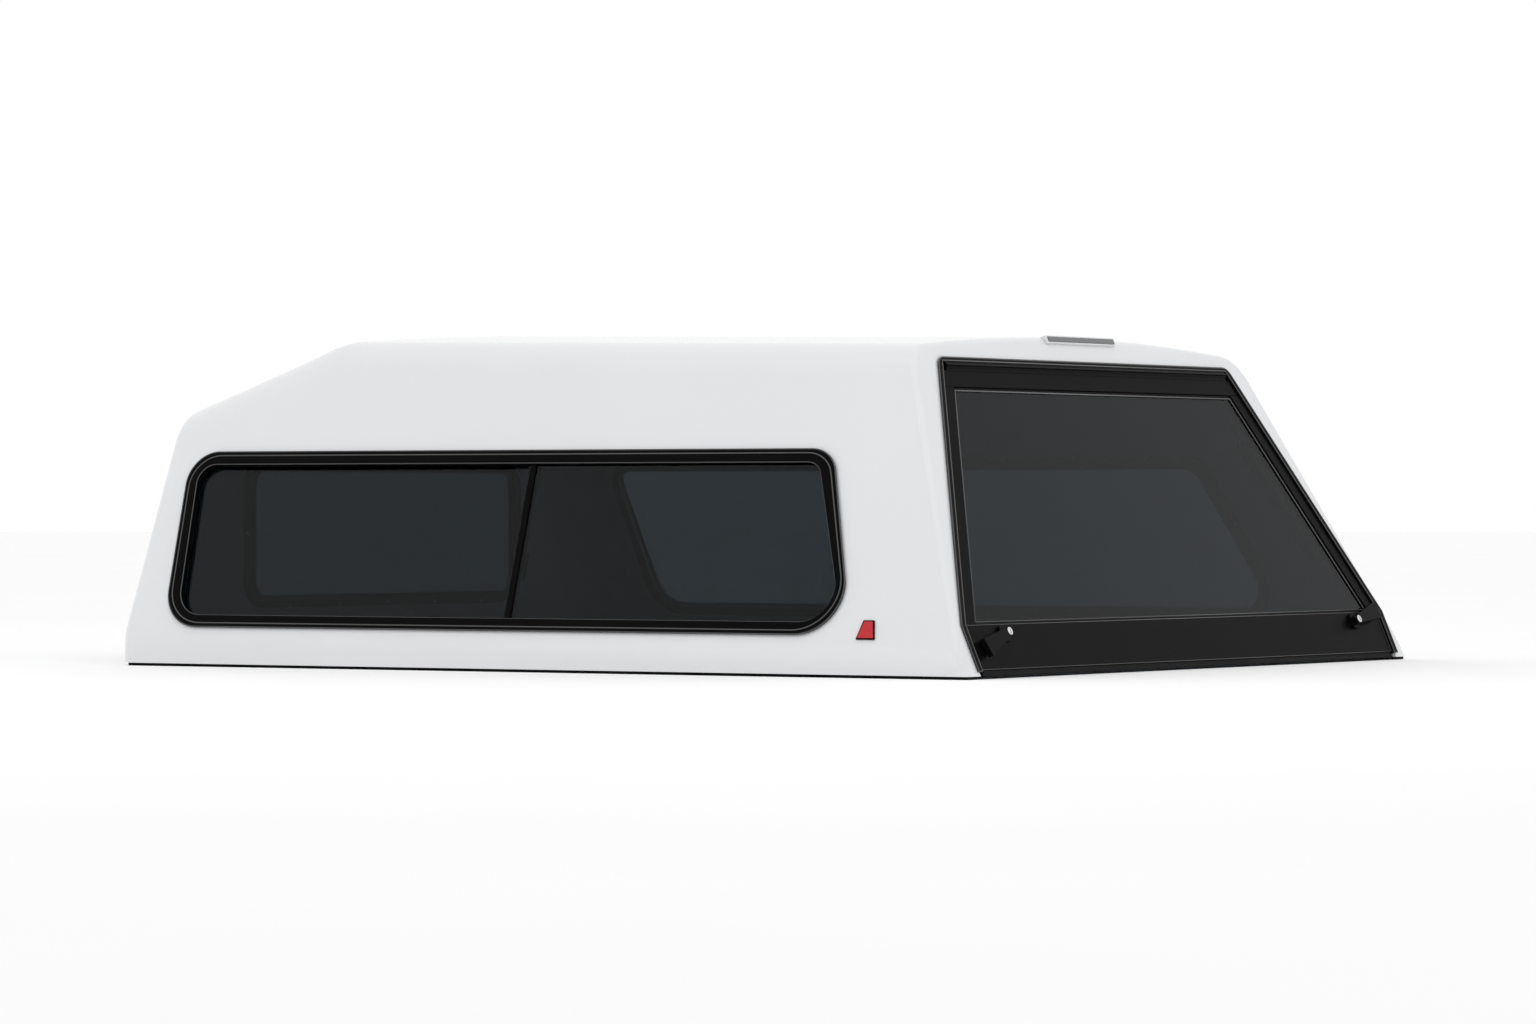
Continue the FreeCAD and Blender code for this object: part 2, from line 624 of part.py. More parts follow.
def make_door_top_rail():
    body = new_body("door_top_rail", rear_frame())
    inset = "seal_width+door_gap"
    low = f"({DOOR_TOP}-top_rail_height)"
    wide = border_half(low, inset)
    narrow = border_half(DOOR_TOP, inset)
    outline = [(f"-{wide}", low), (wide, low), (narrow, DOOR_TOP), (f"-{narrow}", DOOR_TOP)]
    pad_outline(body, [outline], "door_depth", "-door_depth")
    half = border_half(CUT_TOP, "seal_width+hinge_end_gap")
    web = [(DOOR_TOP, "-web_thickness/2"), (HINGE_AXIS, "-web_thickness/2"),
           (HINGE_AXIS, "web_thickness/2"), (DOOR_TOP, "web_thickness/2")]
    pad_outline(body, [web], f"2*{half}", role="YZ_Plane", both_ways=True)
    sketch = new_sketch(body, role="YZ_Plane")
    add_circle(sketch, "bead_radius", HINGE_AXIS, "0")
    add_pad(body, sketch, f"2*{half}", both_ways=True)


def make_door_stiles():
    inset = "seal_width+door_gap"
    high = f"({DOOR_TOP}-top_rail_height)"
    for side in (-1, 1):
        body = new_body(f"door_{side_name(side)}_stile", rear_frame())
        outline = []
        for up, further in (("bottom_rail_top", "0"), (high, "0"), (high, "stile_width"),
                            ("bottom_rail_top", "stile_width")):
            outline.append((f"{side}*{border_half(up, f'{inset}+{further}')}", up))
        pad_outline(body, [outline], "door_depth", "-door_depth")


def make_door_bottom_rail():
    body = new_body("door_bottom_rail", rear_frame())
    inset = "seal_width+door_gap"
    half = border_half("bottom_rail_top", inset)
    outline = [(f"-{half}", "door_foot"), (half, "door_foot"), (half, "bottom_rail_top"),
               (f"-{half}", "bottom_rail_top")]
    pad_outline(body, [outline], "door_depth", "-door_depth")
    for side in (-1, 1):
        sketch = new_sketch(body, "-door_depth-1")
        add_circle(sketch, "spindle_radius+spindle_clearance", f"{side}*{HANDLE_PLACE}", "handle_height")
        add_pocket(body, sketch, "door_depth+2")


def glass_outline(inset):
    """Clear opening of the door's frame, inset all round."""
    low = f"(bottom_rail_top+({inset}))"
    high = f"({DOOR_TOP}-top_rail_height-({inset}))"
    edge = f"(seal_width+door_gap+stile_width+({inset}))"
    wide = border_half(low, edge)
    narrow = border_half(high, edge)
    return [(f"-{wide}", low), (wide, low), (narrow, high), (f"-{narrow}", high)]


def make_door_glass():
    body = new_body("door_glass", rear_frame())
    pad_outline(body, [glass_outline("glazing_width")], "pane_thickness", "-pane_setback-pane_thickness")
    body = new_body("door_glazing_rubber", rear_frame())
    pad_outline(body, [glass_outline("0"), glass_outline("glazing_width")],
                "pane_thickness+5", "-pane_setback-pane_thickness-2.5")


def make_door_sweep():
    body = new_body("door_sweep", rear_frame())
    half = border_half("bottom_rail_top", "seal_width+door_gap")
    outline = [(f"-{half}", "door_foot-sweep_drop"), (half, "door_foot-sweep_drop"),
               (half, "door_foot"), (f"-{half}", "door_foot")]
    pad_outline(body, [outline], "sweep_thickness", "-sweep_thickness-2")


def make_side_window(side):
    name = side_name(side)
    place = side_frame(side)
    ring = window_outline(side, "window_band")
    body = new_body(f"{name}_window_frame", place)
    pad = pad_outline(body, [window_outline(side, "0"), ring], "window_proud")
    pad = pad_outline(body, [window_outline(side, BAND_IN), ring], "window_depth", "-window_depth")
    pad = round_corners(body, pad, window_outline(side, "0")[:2], "window_corner_low")
    pad = round_corners(body, pad, window_outline(side, "0")[2:], "window_corner_high")
    pad = round_corners(body, pad, window_outline(side, BAND_IN)[:2], f"window_corner_low-({BAND_IN})")
    pad = round_corners(body, pad, window_outline(side, BAND_IN)[2:], f"window_corner_high-({BAND_IN})")
    pad = round_corners(body, pad, ring[:2], "window_corner_low-window_band")
    round_corners(body, pad, ring[2:], "window_corner_high-window_band")

    clamp = f"{BAND_IN}-clamp_width"
    body = new_body(f"{name}_clamp_ring", place)
    pad = pad_outline(body, [window_outline(side, clamp), window_outline(side, BAND_IN)],
                      "clamp_thickness", "-wall-seat_gap-clamp_thickness")
    for inset in (clamp, BAND_IN):
        corners = window_outline(side, inset)
        pad = round_corners(body, pad, corners[:2], f"window_corner_low-({inset})")
        pad = round_corners(body, pad, corners[2:], f"window_corner_high-({inset})")

    slope = f"((mullion_high-mullion_low)/({WINDOW_TOP}-{WINDOW_LOW}))"
    high = f"({WINDOW_TOP}-window_band)"
    low = f"({WINDOW_LOW}+window_band)"

    def bar(up, off):
        return (f"{side}*(mullion_low+{slope}*({up}-{WINDOW_LOW})+({off}))", up)

    for pane, level, ahead in (("rear", "-outer_pane_setback-side_pane_thickness", False),
                               ("front", "-outer_pane_setback-side_pane_thickness-pane_spacing", True)):
        body = new_body(f"{name}_{pane}_pane", place)
        corners = window_outline(side, "window_band")
        if ahead:
            outline = [bar(low, "-pane_overlap/2"), corners[1], corners[2], bar(high, "-pane_overlap/2")]
            rounded = (1, 2)
        else:
            outline = [corners[0], bar(low, "pane_overlap/2"), bar(high, "pane_overlap/2"), corners[3]]
            rounded = (0, 3)
        pad = pad_outline(body, [outline], "side_pane_thickness", level)
        pad = round_corners(body, pad, [outline[rounded[0]]], "window_corner_low-window_band")
        round_corners(body, pad, [outline[rounded[1]]], "window_corner_high-window_band")

    body = new_body(f"{name}_meeting_rail", place)
    outline = [bar(low, "-mullion_width/2"), bar(low, "mullion_width/2"),
               bar(high, "mullion_width/2"), bar(high, "-mullion_width/2")]
    pad_outline(body, [outline], "mullion_proud", "-outer_pane_setback")

    body = new_body(f"{name}_pane_latch", place)
    middle = f"({WINDOW_LOW}+latch_rise)"
    outline = [bar(f"({middle}-latch_length/2)", "-latch_width/2"),
               bar(f"({middle}-latch_length/2)", "latch_width/2"),
               bar(f"({middle}+latch_length/2)", "latch_width/2"),
               bar(f"({middle}+latch_length/2)", "-latch_width/2")]
    pad_outline(body, [outline], "latch_height",
                "-outer_pane_setback-side_pane_thickness-pane_spacing-latch_height")


def make_nose_window():
    place = nose_frame()
    body = new_body("front_window_frame", place)
    ring = nose_outline("window_band")
    pad = pad_outline(body, [nose_outline("0"), ring], "window_proud")
    pad = pad_outline(body, [nose_outline(BAND_IN), ring], "window_depth", "-window_depth")
    for inset in ("0", BAND_IN, "window_band"):
        pad = round_corners(body, pad, nose_outline(inset), f"nose_window_corner-({inset})")
    body = new_body("front_clamp_ring", place)
    clamp = f"{BAND_IN}-clamp_width"
    pad = pad_outline(body, [nose_outline(clamp), nose_outline(BAND_IN)],
                      "clamp_thickness", "-wall-seat_gap-clamp_thickness")
    for inset in (clamp, BAND_IN):
        pad = round_corners(body, pad, nose_outline(inset), f"nose_window_corner-({inset})")
    body = new_body("front_pane", place)
    pad = pad_outline(body, [ring], "side_pane_thickness", "-outer_pane_setback-side_pane_thickness")
    round_corners(body, pad, ring, "nose_window_corner-window_band")


def make_reflector(side):
    """Tapered reflector: a lens let into a thin bezel on the shell's side."""
    name = side_name(side)

    def outline(inset):
        low = f"(reflector_low+({inset}))"
        high = f"(reflector_low+reflector_height-({inset}))"
        middle = "reflector_place-length/2"
        corners = [(f"{middle}-reflector_width/2+({inset})", low),
                   (f"{middle}+reflector_width/2-({inset})", low),
                   (f"{middle}+reflector_top/2-({inset})", high),
                   (f"{middle}-reflector_top/2+({inset})", high)]
        return [(f"{side}*({across})", up) for across, up in corners]

    body = new_body(f"{name}_reflector_bezel", side_frame(side))
    pad_outline(body, [outline("0"), outline("reflector_rim")], "reflector_proud-1")
    body = new_body(f"{name}_reflector", side_frame(side))
    pad_outline(body, [outline("reflector_rim")], "reflector_proud")


def make_brake_lamp(outer):
    """High brake lamp on the roof's rear edge: housing with a lens let into it."""
    place = rear_frame()
    half = "(lamp_half+lamp_rim)"
    low = f"({LAMP_PLACE}-lamp_height/2-lamp_rim/2)"
    high = f"({LAMP_PLACE}+lamp_height/2+lamp_rim/2)"
    pod = prism([(f"-{half}", low), (half, low), (half, high), (f"-{half}", high)],
                place, "-40", "lamp_proud-2")
    lens_half = "lamp_half"
    lens_low = f"({LAMP_PLACE}-lamp_height/2)"
    lens_high = f"({LAMP_PLACE}+lamp_height/2)"
    lens = prism([(f"-{lens_half}", lens_low), (lens_half, lens_low), (lens_half, lens_high),
                  (f"-{lens_half}", lens_high)], place, "1", "lamp_proud")
    housing = pod.cut(lens).cut(outer)
    housing = max(housing.Solids, key=lambda solid: solid.Volume)
    solid_piece("brake_lamp_housing", housing)
    solid_piece("brake_lamp_lens", lens.cut(outer).cut(housing))


def handle_frame(side, turn=True):
    angle = value("left_arm_angle") if side < 0 else value("right_arm_angle")
    return rear_frame(f"{side}*{HANDLE_PLACE}", "handle_height", angle if turn else 0.0)


def make_handle(side):
    name = side_name(side)
    body = new_body(f"{name}_handle_base", handle_frame(side, False))
    sketch = new_sketch(body)
    flat = "handle_base_half"
    cut = "(handle_base_half-handle_base_corner)"
    add_loop(sketch, [(f"-{flat}", f"-{cut}"), (f"-{cut}", f"-{flat}"), (cut, f"-{flat}"), (flat, f"-{cut}"),
                      (flat, cut), (cut, flat), (f"-{cut}", flat), (f"-{flat}", cut)])
    add_circle(sketch, "spindle_radius+spindle_clearance")
    add_pad(body, sketch, "handle_base_height")

    body = new_body(f"{name}_handle_lever", handle_frame(side))
    under = "(handle_base_height+lever_gap)"
    arm = [(f"-{side}*arm_tip", "-arm_root/2"), (f"{side}*arm_length", "-arm_end/2"),
           (f"{side}*arm_length", "arm_end/2"), (f"-{side}*arm_tip", "arm_root/2")]
    pad_outline(body, [arm], "arm_thickness", under)
    pad_circle(body, "spindle_radius", f"door_depth+cam_gap+{under}", "-door_depth-cam_gap")
    sketch = new_sketch(body, f"{under}+arm_thickness-lock_depth")
    add_circle(sketch, "lock_radius")
    add_pocket(body, sketch, "lock_depth+1")

    body = new_body(f"{name}_lock_cylinder", handle_frame(side))
    pad_circle(body, "lock_radius", "lock_depth+lock_proud", f"{under}+arm_thickness-lock_depth")

    body = new_body(f"{name}_latch_cam", handle_frame(side, False))
    cam = [("0", "-cam_width/2"), (f"{side}*cam_reach", "-cam_width/3"),
           (f"{side}*cam_reach", "cam_width/3"), ("0", "cam_width/2")]
    pad_outline(body, [cam], "cam_thickness", "-door_depth-cam_gap-cam_thickness")
    pad_circle(body, "cam_width/2", "cam_thickness", "-door_depth-cam_gap-cam_thickness")


def make_keeper(side):
    """Block behind the rim that the latch cam pulls against."""
    body = new_body(f"{side_name(side)}_latch_keeper", rear_frame())
    inner = border_half("border_knee", "seal_lip-keeper_margin")
    low = "(handle_height-keeper_length/2)"
    high = "(handle_height+keeper_length/2)"
    outline = [(f"{side}*{inner}", low), (f"{side}*({inner}+keeper_width)", low),
               (f"{side}*({inner}+keeper_width)", high), (f"{side}*{inner}", high)]
    pad_outline(body, [outline], "keeper_depth", "-wall-seat_gap-keeper_depth")


def strut_points(side):
    """Shell pivot, door pivot shut and door pivot open, in the model's frame."""
    place = rear_frame(up=HINGE_AXIS)
    depth = value("strut_setback")
    shell_pivot = place.multVec(FreeCAD.Vector(side * value(STRUT_LOW_HALF), -value("strut_low"), -depth))
    door_pivot = FreeCAD.Vector(side * value(STRUT_HIGH_HALF), -value("strut_high"), -depth)
    swing = FreeCAD.Rotation(FreeCAD.Vector(-1, 0, 0), value("door_opening_angle"))
    return shell_pivot, place.multVec(door_pivot), place.multVec(swing.multVec(door_pivot))


def make_strut(side):
    """Gas strut: a tube with its eye on the shell, and the rod that slides in it."""
    name = side_name(side)
    low, shut, opened = strut_points(side)
    along = (shut - low).normalize()
    pin = along.cross((opened - low).normalize()).normalize()
    place = frame(low, pin, along.cross(pin), along)
    reach = (shut - low).Length
    stroke = (opened - low).Length - reach
    eye = value("strut_eye_radius")
    width = value("strut_eye_width")
    rod = value("strut_rod_radius")
    crosswise = FreeCAD.Vector(1, 0, 0)
    tube_low = eye + value("strut_neck")
    tube_high = reach - value("strut_head")
    tube = Part.makeCylinder(eye, width, FreeCAD.Vector(-width / 2, 0, 0), crosswise)
    inside = value("strut_tube_floor") / 2
    tube = tube.fuse(Part.makeBox(width, width, tube_low + inside,
                                  FreeCAD.Vector(-width / 2, -width / 2, 0)))
    tube = tube.fuse(Part.makeCylinder(value("strut_tube_radius"), tube_high - tube_low,
                                       FreeCAD.Vector(0, 0, tube_low)))
    floor = tube_low + value("strut_tube_floor")
    tube = tube.cut(Part.makeCylinder(rod + value("strut_rod_clearance"), tube_high - floor,
                                      FreeCAD.Vector(0, 0, floor)))
    item = solid_piece(f"{name}_strut_tube", tube.removeSplitter())
    item.Placement = place
    rod_low = max(tube_high - stroke - value("rod_engagement"), floor + value("strut_rod_clearance"))
    piston = Part.makeCylinder(rod, reach - tube_low - rod_low, FreeCAD.Vector(0, 0, rod_low))
    piston = piston.fuse(Part.makeBox(width, width, tube_low + rod,
                                      FreeCAD.Vector(-width / 2, -width / 2, reach - tube_low - rod)))
    piston = piston.fuse(Part.makeCylinder(eye, width, FreeCAD.Vector(-width / 2, 0, reach), crosswise))
    item = solid_piece(f"{name}_strut_rod", piston.removeSplitter())
    item.Placement = place
    print(f"{name} strut: shut {reach:.1f}, stroke {stroke:.1f}, rod in tube {tube_high - rod_low:.1f}")


def make_strut_brackets(side):
    name = side_name(side)
    start = f"({STRUT_LOW_HALF}+strut_eye_width/2+low_stud_gap)"
    up = f"({HINGE_AXIS}-strut_low)"
    body = new_body(f"{name}_strut_mount", rear_frame())
    foot_in = border_half(f"{up}-bracket_base", "seal_lip-seat_gap")
    foot_out = f"({foot_in}+bracket_foot)"
    foot = [(f"{side}*{foot_in}", f"{up}-bracket_base"), (f"{side}*{foot_out}", f"{up}-bracket_base"),
            (f"{side}*{foot_out}", f"{up}+bracket_base"), (f"{side}*{foot_in}", f"{up}+bracket_base")]
    pad_outline(body, [foot], "bracket_thickness", "-wall-seat_gap-bracket_thickness")
    leg = [(f"{side}*{foot_in}", f"{up}-bracket_base/2"),
           (f"{side}*({foot_in}+bracket_thickness)", f"{up}-bracket_base/2"),
           (f"{side}*({foot_in}+bracket_thickness)", f"{up}+bracket_base/2"),
           (f"{side}*{foot_in}", f"{up}+bracket_base/2")]
    pad_outline(body, [leg], "strut_setback+bracket_half-wall-seat_gap", "-strut_setback-bracket_half")
    add_stud(body, side, up, start, foot_in)

    up = f"({HINGE_AXIS}-strut_high)"
    body = new_body(f"{name}_strut_stud", rear_frame())
    start = f"({STRUT_HIGH_HALF}+strut_eye_width/2+high_stud_gap)"
    plate_in = f"({start}+plate_reach)"
    skew = "border_taper*bracket_half"
    plate = [(f"{side}*({plate_in}+{skew})", f"{up}-bracket_half"),
             (f"{side}*({plate_in}+{skew}+bracket_thickness)", f"{up}-bracket_half"),
             (f"{side}*({plate_in}-{skew}+bracket_thickness)", f"{up}+bracket_half"),
             (f"{side}*({plate_in}-{skew})", f"{up}+bracket_half")]
    pad_outline(body, [plate], "strut_setback+bracket_half-door_depth", "-strut_setback-bracket_half")
    add_stud(body, side, up, start, plate_in)


def add_stud(body, side, up, start, end):
    """Round stud along X, from the strut's eye to the bracket's plate."""
    sketch = new_sketch(body, f"{side}*({start})", role="YZ_Plane")
    add_circle(sketch, "stud_radius", up, "-strut_setback")
    pad = add_pad(body, sketch, f"({end})-({start})+bracket_thickness/2")
    pad.Reversed = side < 0
    doc.recompute()


def build():
    outer = outer_form()
    make_shell(outer)
    make_rail_seal()
    make_door_seal()
    make_hinge_rail()
    make_brake_lamp(outer)
    make_nose_window()
    make_door_top_rail()
    make_door_stiles()
    make_door_bottom_rail()
    make_door_glass()
    make_door_sweep()
    for side in (-1, 1):
        make_side_window(side)
        make_reflector(side)
        make_handle(side)
        make_keeper(side)
        make_strut(side)
        make_strut_brackets(side)


def check_and_write():
    doc.recompute()
    for item in doc.Objects:
        if "Invalid" in item.State or "Error" in item.State:
            raise RuntimeError(f"{item.Label} failed: {item.State}")
    for item in pieces:
        if item.Shape.isNull() or not item.Shape.isValid() or item.Shape.Volume <= 0:
            raise RuntimeError(f"{item.Label} has no valid shape")
        if len(item.Shape.Solids) != 1:
            raise RuntimeError(f"{item.Label} has {len(item.Shape.Solids)} solids")
    os.makedirs("parts", exist_ok=True)
    for item in pieces:
        item.Shape.exportStep(f"parts/{item.Label}.step")


build()
check_and_write()
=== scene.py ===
"""Looks of a high-rise fibreglass canopy for a pickup bed.

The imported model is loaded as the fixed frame.  Each operator takes the frame's
pieces as they stand, rounds their edges, adds what the real ones carry (beads,
gaskets, screws, lock rings) and gives them their finish.
+X is the vehicle's right, +Y its front and +Z up, in metres.
"""
import json
import math

import bmesh
import bpy
from mathutils import Matrix, Vector


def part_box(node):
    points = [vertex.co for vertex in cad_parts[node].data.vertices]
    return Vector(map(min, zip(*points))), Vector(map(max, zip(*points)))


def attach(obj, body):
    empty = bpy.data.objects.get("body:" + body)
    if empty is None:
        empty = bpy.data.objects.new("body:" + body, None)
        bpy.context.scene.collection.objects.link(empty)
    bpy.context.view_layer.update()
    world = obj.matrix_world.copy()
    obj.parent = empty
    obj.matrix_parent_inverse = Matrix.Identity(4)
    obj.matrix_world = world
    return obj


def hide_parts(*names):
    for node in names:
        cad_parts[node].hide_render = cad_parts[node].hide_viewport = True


bl_info = {
    "name": "Pickup Canopy Looks",
    "version": (1, 0, 0),
    "blender": (4, 5, 0),
    "location": "View3D > Sidebar > Canopy",
    "description": "Finishes the pieces of a pickup bed canopy and sets its studio",
    "category": "Object",
}

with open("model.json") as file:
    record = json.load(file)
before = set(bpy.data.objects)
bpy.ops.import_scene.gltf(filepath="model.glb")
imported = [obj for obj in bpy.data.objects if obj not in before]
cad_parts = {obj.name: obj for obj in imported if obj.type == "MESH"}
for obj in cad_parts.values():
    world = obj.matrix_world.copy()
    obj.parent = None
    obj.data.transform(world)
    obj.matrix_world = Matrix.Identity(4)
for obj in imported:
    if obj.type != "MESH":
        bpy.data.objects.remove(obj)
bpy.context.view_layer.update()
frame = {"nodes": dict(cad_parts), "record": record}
BODY_OF = {node: body
           for body, nodes in frame["record"]["behaviour"]["bodies"].items()
           for node in nodes}
SLOT_OF = {item["node"]: item["material_slot"] for item in frame["record"]["subparts"]}

# Where the leaning side windows, the leaning door and the front window look.
SIDES = ("left", "right")
WALL_SLOPE = 0.43
LEAN = math.atan(WALL_SLOPE)
REAR = Vector((0, -math.cos(LEAN), math.sin(LEAN)))
FRONT = Vector((0, 1, 0))
OUTWARD = {"left": Vector((-math.cos(LEAN), 0, math.sin(LEAN))),
           "right": Vector((math.cos(LEAN), 0, math.sin(LEAN)))}

# Edge roundings of the thin and small pieces, in metres.
FINE_EDGE = 0.0005
THIN_EDGE = 0.0006
SMALL_EDGE = 0.0008
LENS_EDGE = 0.0012

# Angles in degrees up to which a piece is shaded as one surface.
SMOOTH = 35
SHELL_SMOOTH = 32

# Limits for reading a frame piece's mesh: metres, radians and a cosine.
MERGE_DISTANCE = 0.00002
FLAT_ANGLE = math.radians(0.4)
SHARP_ANGLE = math.radians(40)
FACING = 0.97
SAME_LEVEL = 0.0008

# A frame piece's rims as rim_loops sorts them, longest first.
OUTER_RIM, INNER_RIM = 0, 1

# How far a window's gasket lies behind its frame's face, in metres.
SIDE_GASKET_DEPTH = 0.004
FRONT_GASKET_DEPTH = 0.006

# Share of its radius by which a bead is let into its piece.
FRAME_BEAD_SINK = 0.6
RIDGE_SINK = 0.4
DOOR_BEAD_SINK = 0.5

# Radius of the bottom rail's bead as a share of the frame bead's.
RAIL_BEAD_SHARE = 0.6

# Screws: metres inside a ring's rim, and the least straight run that gets one, as a
# share of the pitch.
SCREW_INSET = 0.008
SHORTEST_RUN = 0.8

# A pan-head screw's proportions, as shares of its radius.
HEAD_HEIGHT = 0.75
HEAD_MIDDLE = 0.3
CROWN_INSET = 0.3
CROWN_RISE = 0.16
RECESS_INSET = 0.36
RECESS_DEPTH = 0.35

# Lock ring's section as a share of its radius; the keyway's sides and rounding.
RING_SECTION = 0.17
KEYWAY = (0.0014, 0.008, 0.0008)
KEYWAY_EDGE = 0.0002

# Length that one band of the Wave texture spans at scale 1, in metres.
WAVE_SPAN = 0.314

# Name, place, size and share of the key light's power of each studio light.
LIGHTS = (("overhead_light", (-1.5, -1.0, 4.6), 5.0, 1.0),
          ("side_light", (-6.5, 2.5, 3.0), 3.0, 0.35))
LIGHTS_AIM = (0, 0, 0.3)
FLOOR_RADIUS = 60


# ---------------------------------------------------------------- settings

class CanopySizes(bpy.types.PropertyGroup):
    """Sizes of the finishing details."""
    frame_round: bpy.props.FloatProperty(
        name="Frame Edge", description="Rounding of the aluminium frames' edges",
        default=0.0012, min=0, subtype="DISTANCE", unit="LENGTH")
    rubber_round: bpy.props.FloatProperty(
        name="Rubber Edge", description="Rounding of the seals' edges",
        default=0.0016, min=0, subtype="DISTANCE", unit="LENGTH")
    moulding_round: bpy.props.FloatProperty(
        name="Moulding Edge", description="Rounding of the plastic mouldings' edges",
        default=0.0015, min=0, subtype="DISTANCE", unit="LENGTH")
    lever_round: bpy.props.FloatProperty(
        name="Lever Edge", description="Rounding of the handles' levers",
        default=0.0026, min=0, subtype="DISTANCE", unit="LENGTH")
    pod_round: bpy.props.FloatProperty(
        name="Lamp Pod Edge", description="Rounding of the brake lamp's housing",
        default=0.004, min=0, subtype="DISTANCE", unit="LENGTH")
    bead: bpy.props.FloatProperty(
        name="Frame Bead", description="Radius of the rolled bead round a window frame",
        default=0.0017, min=0, subtype="DISTANCE", unit="LENGTH")
    ridge: bpy.props.FloatProperty(
        name="Frame Ridge", description="Radius of the ridge that is rolled into a window frame",
        default=0.0018, min=0, subtype="DISTANCE", unit="LENGTH")
    ridge_place: bpy.props.FloatProperty(
        name="Ridge Place", description="Distance of that ridge from the frame's outer edge",
        default=0.0085, min=0, subtype="DISTANCE", unit="LENGTH")
    gasket: bpy.props.FloatProperty(
        name="Gasket", description="Radius of the gasket where glass meets its frame",
        default=0.0021, min=0, subtype="DISTANCE", unit="LENGTH")
    lock_ring: bpy.props.FloatProperty(
        name="Lock Ring", description="Radius of the bright ring round a handle's lock",
        default=0.007, min=0, subtype="DISTANCE", unit="LENGTH")
    screw: bpy.props.FloatProperty(
        name="Screw Head", description="Radius of a screw's head",
        default=0.0042, min=0, subtype="DISTANCE", unit="LENGTH")
    screw_pitch: bpy.props.FloatProperty(
        name="Screw Pitch", description="Spacing of the screws along a clamp ring",
        default=0.19, min=0.02, subtype="DISTANCE", unit="LENGTH")


class CanopyColours(bpy.types.PropertyGroup):
    """Colours of the finishes."""
    gelcoat: bpy.props.FloatVectorProperty(
        name="Gelcoat", description="Colour of the shell", subtype="COLOR",
        default=(0.71, 0.72, 0.735), min=0, max=1)
    black: bpy.props.FloatVectorProperty(
        name="Black Coat", description="Colour of the coated frames", subtype="COLOR",
        default=(0.003, 0.003, 0.0033), min=0, max=1)
    rubber: bpy.props.FloatVectorProperty(
        name="Rubber", description="Colour of the seals", subtype="COLOR",
        default=(0.003, 0.003, 0.0033), min=0, max=1)
    zinc: bpy.props.FloatVectorProperty(
        name="Zinc", description="Colour of the plated steel pieces", subtype="COLOR",
        default=(0.42, 0.43, 0.44), min=0, max=1)
    chrome: bpy.props.FloatVectorProperty(
        name="Chrome", description="Colour of the bright metal", subtype="COLOR",
        default=(0.78, 0.78, 0.79), min=0, max=1)
    side_tint: bpy.props.FloatVectorProperty(
        name="Side Tint", description="Tint of the side windows' glass", subtype="COLOR",
        default=(0.104, 0.130, 0.145), min=0, max=1)
    rear_tint: bpy.props.FloatVectorProperty(
        name="Rear Tint", description="Tint of the rear door's and front window's glass",
        subtype="COLOR", default=(0.056, 0.076, 0.090), min=0, max=1)
    red: bpy.props.FloatVectorProperty(
        name="Reflector", description="Colour of the side reflectors", subtype="COLOR",
        default=(0.72, 0.008, 0.016), min=0, max=1)
    smoke: bpy.props.FloatVectorProperty(
        name="Smoked Lens", description="Colour of the brake lamp's lens", subtype="COLOR",
        default=(0.16, 0.165, 0.17), min=0, max=1)
    floor: bpy.props.FloatVectorProperty(
        name="Floor", description="Colour of the studio floor", subtype="COLOR",
        default=(0.97, 0.97, 0.97), min=0, max=1)


class CanopyStage(bpy.types.PropertyGroup):
    """The studio's camera and light."""
    lens: bpy.props.FloatProperty(
        name="Lens", description="Focal length of the camera", default=144.0, min=10,
        unit="CAMERA")
    camera: bpy.props.FloatVectorProperty(
        name="Camera", description="Place of the camera", subtype="TRANSLATION",
        default=(-11.054, -6.914, 0.336))
    aim: bpy.props.FloatVectorProperty(
        name="Aim", description="Point that the camera looks at", subtype="TRANSLATION",
        default=(-0.009, 0.014, 0.3186))
    sky: bpy.props.FloatProperty(
        name="Sky", description="Brightness of the room", default=1.0, min=0)
    key: bpy.props.FloatProperty(
        name="Key Light", description="Power of the large overhead light", default=24.0,
        min=0, subtype="POWER")


def sizes():
    return bpy.context.scene.canopy_sizes


def colours():
    return bpy.context.scene.canopy_colours


# ---------------------------------------------------------------- nodes

def add_node(tree, kind, **settings):
    """New node with its own settings."""
    node = tree.nodes.new(kind)
    for name, setting in settings.items():
        setattr(node, name, setting)
    return node


def feed(tree, socket, given):
    """Gives a socket a link, a colour or a number."""
    if isinstance(given, bpy.types.NodeSocket):
        tree.links.new(given, socket)
    elif socket.type == "RGBA":
        socket.default_value = (*given, 1.0)
    else:
        socket.default_value = given


def feed_named(tree, node, given):
    """Feeds several sockets; an underscore in a label stands for a space."""
    for label, setting in given.items():
        feed(tree, node.inputs[label.replace("_", " ")], setting)


def noise(tree, vector, scale, detail=3.0, roughness=0.55):
    """Noise pattern on a vector; scale is a number or a socket."""
    node = add_node(tree, "ShaderNodeTexNoise")
    feed_named(tree, node, {"Vector": vector, "Scale": scale, "Detail": detail,
                            "Roughness": roughness})
    return node.outputs["Fac"]


def combine(tree, operation, first, second, clamp=False):
    """Adds or multiplies two values."""
    node = add_node(tree, "ShaderNodeMath", operation=operation, use_clamp=clamp)
    feed(tree, node.inputs[0], first)
    feed(tree, node.inputs[1], second)
    return node.outputs[0]


def spread(tree, source, low, high, to_low=0.0, to_high=1.0):
    """Maps a stretch of a value onto another, clamped."""
    node = add_node(tree, "ShaderNodeMapRange")
    feed_named(tree, node, {"Value": source, "From Min": low, "From Max": high,
                            "To Min": to_low, "To Max": to_high})
    return node.outputs["Result"]


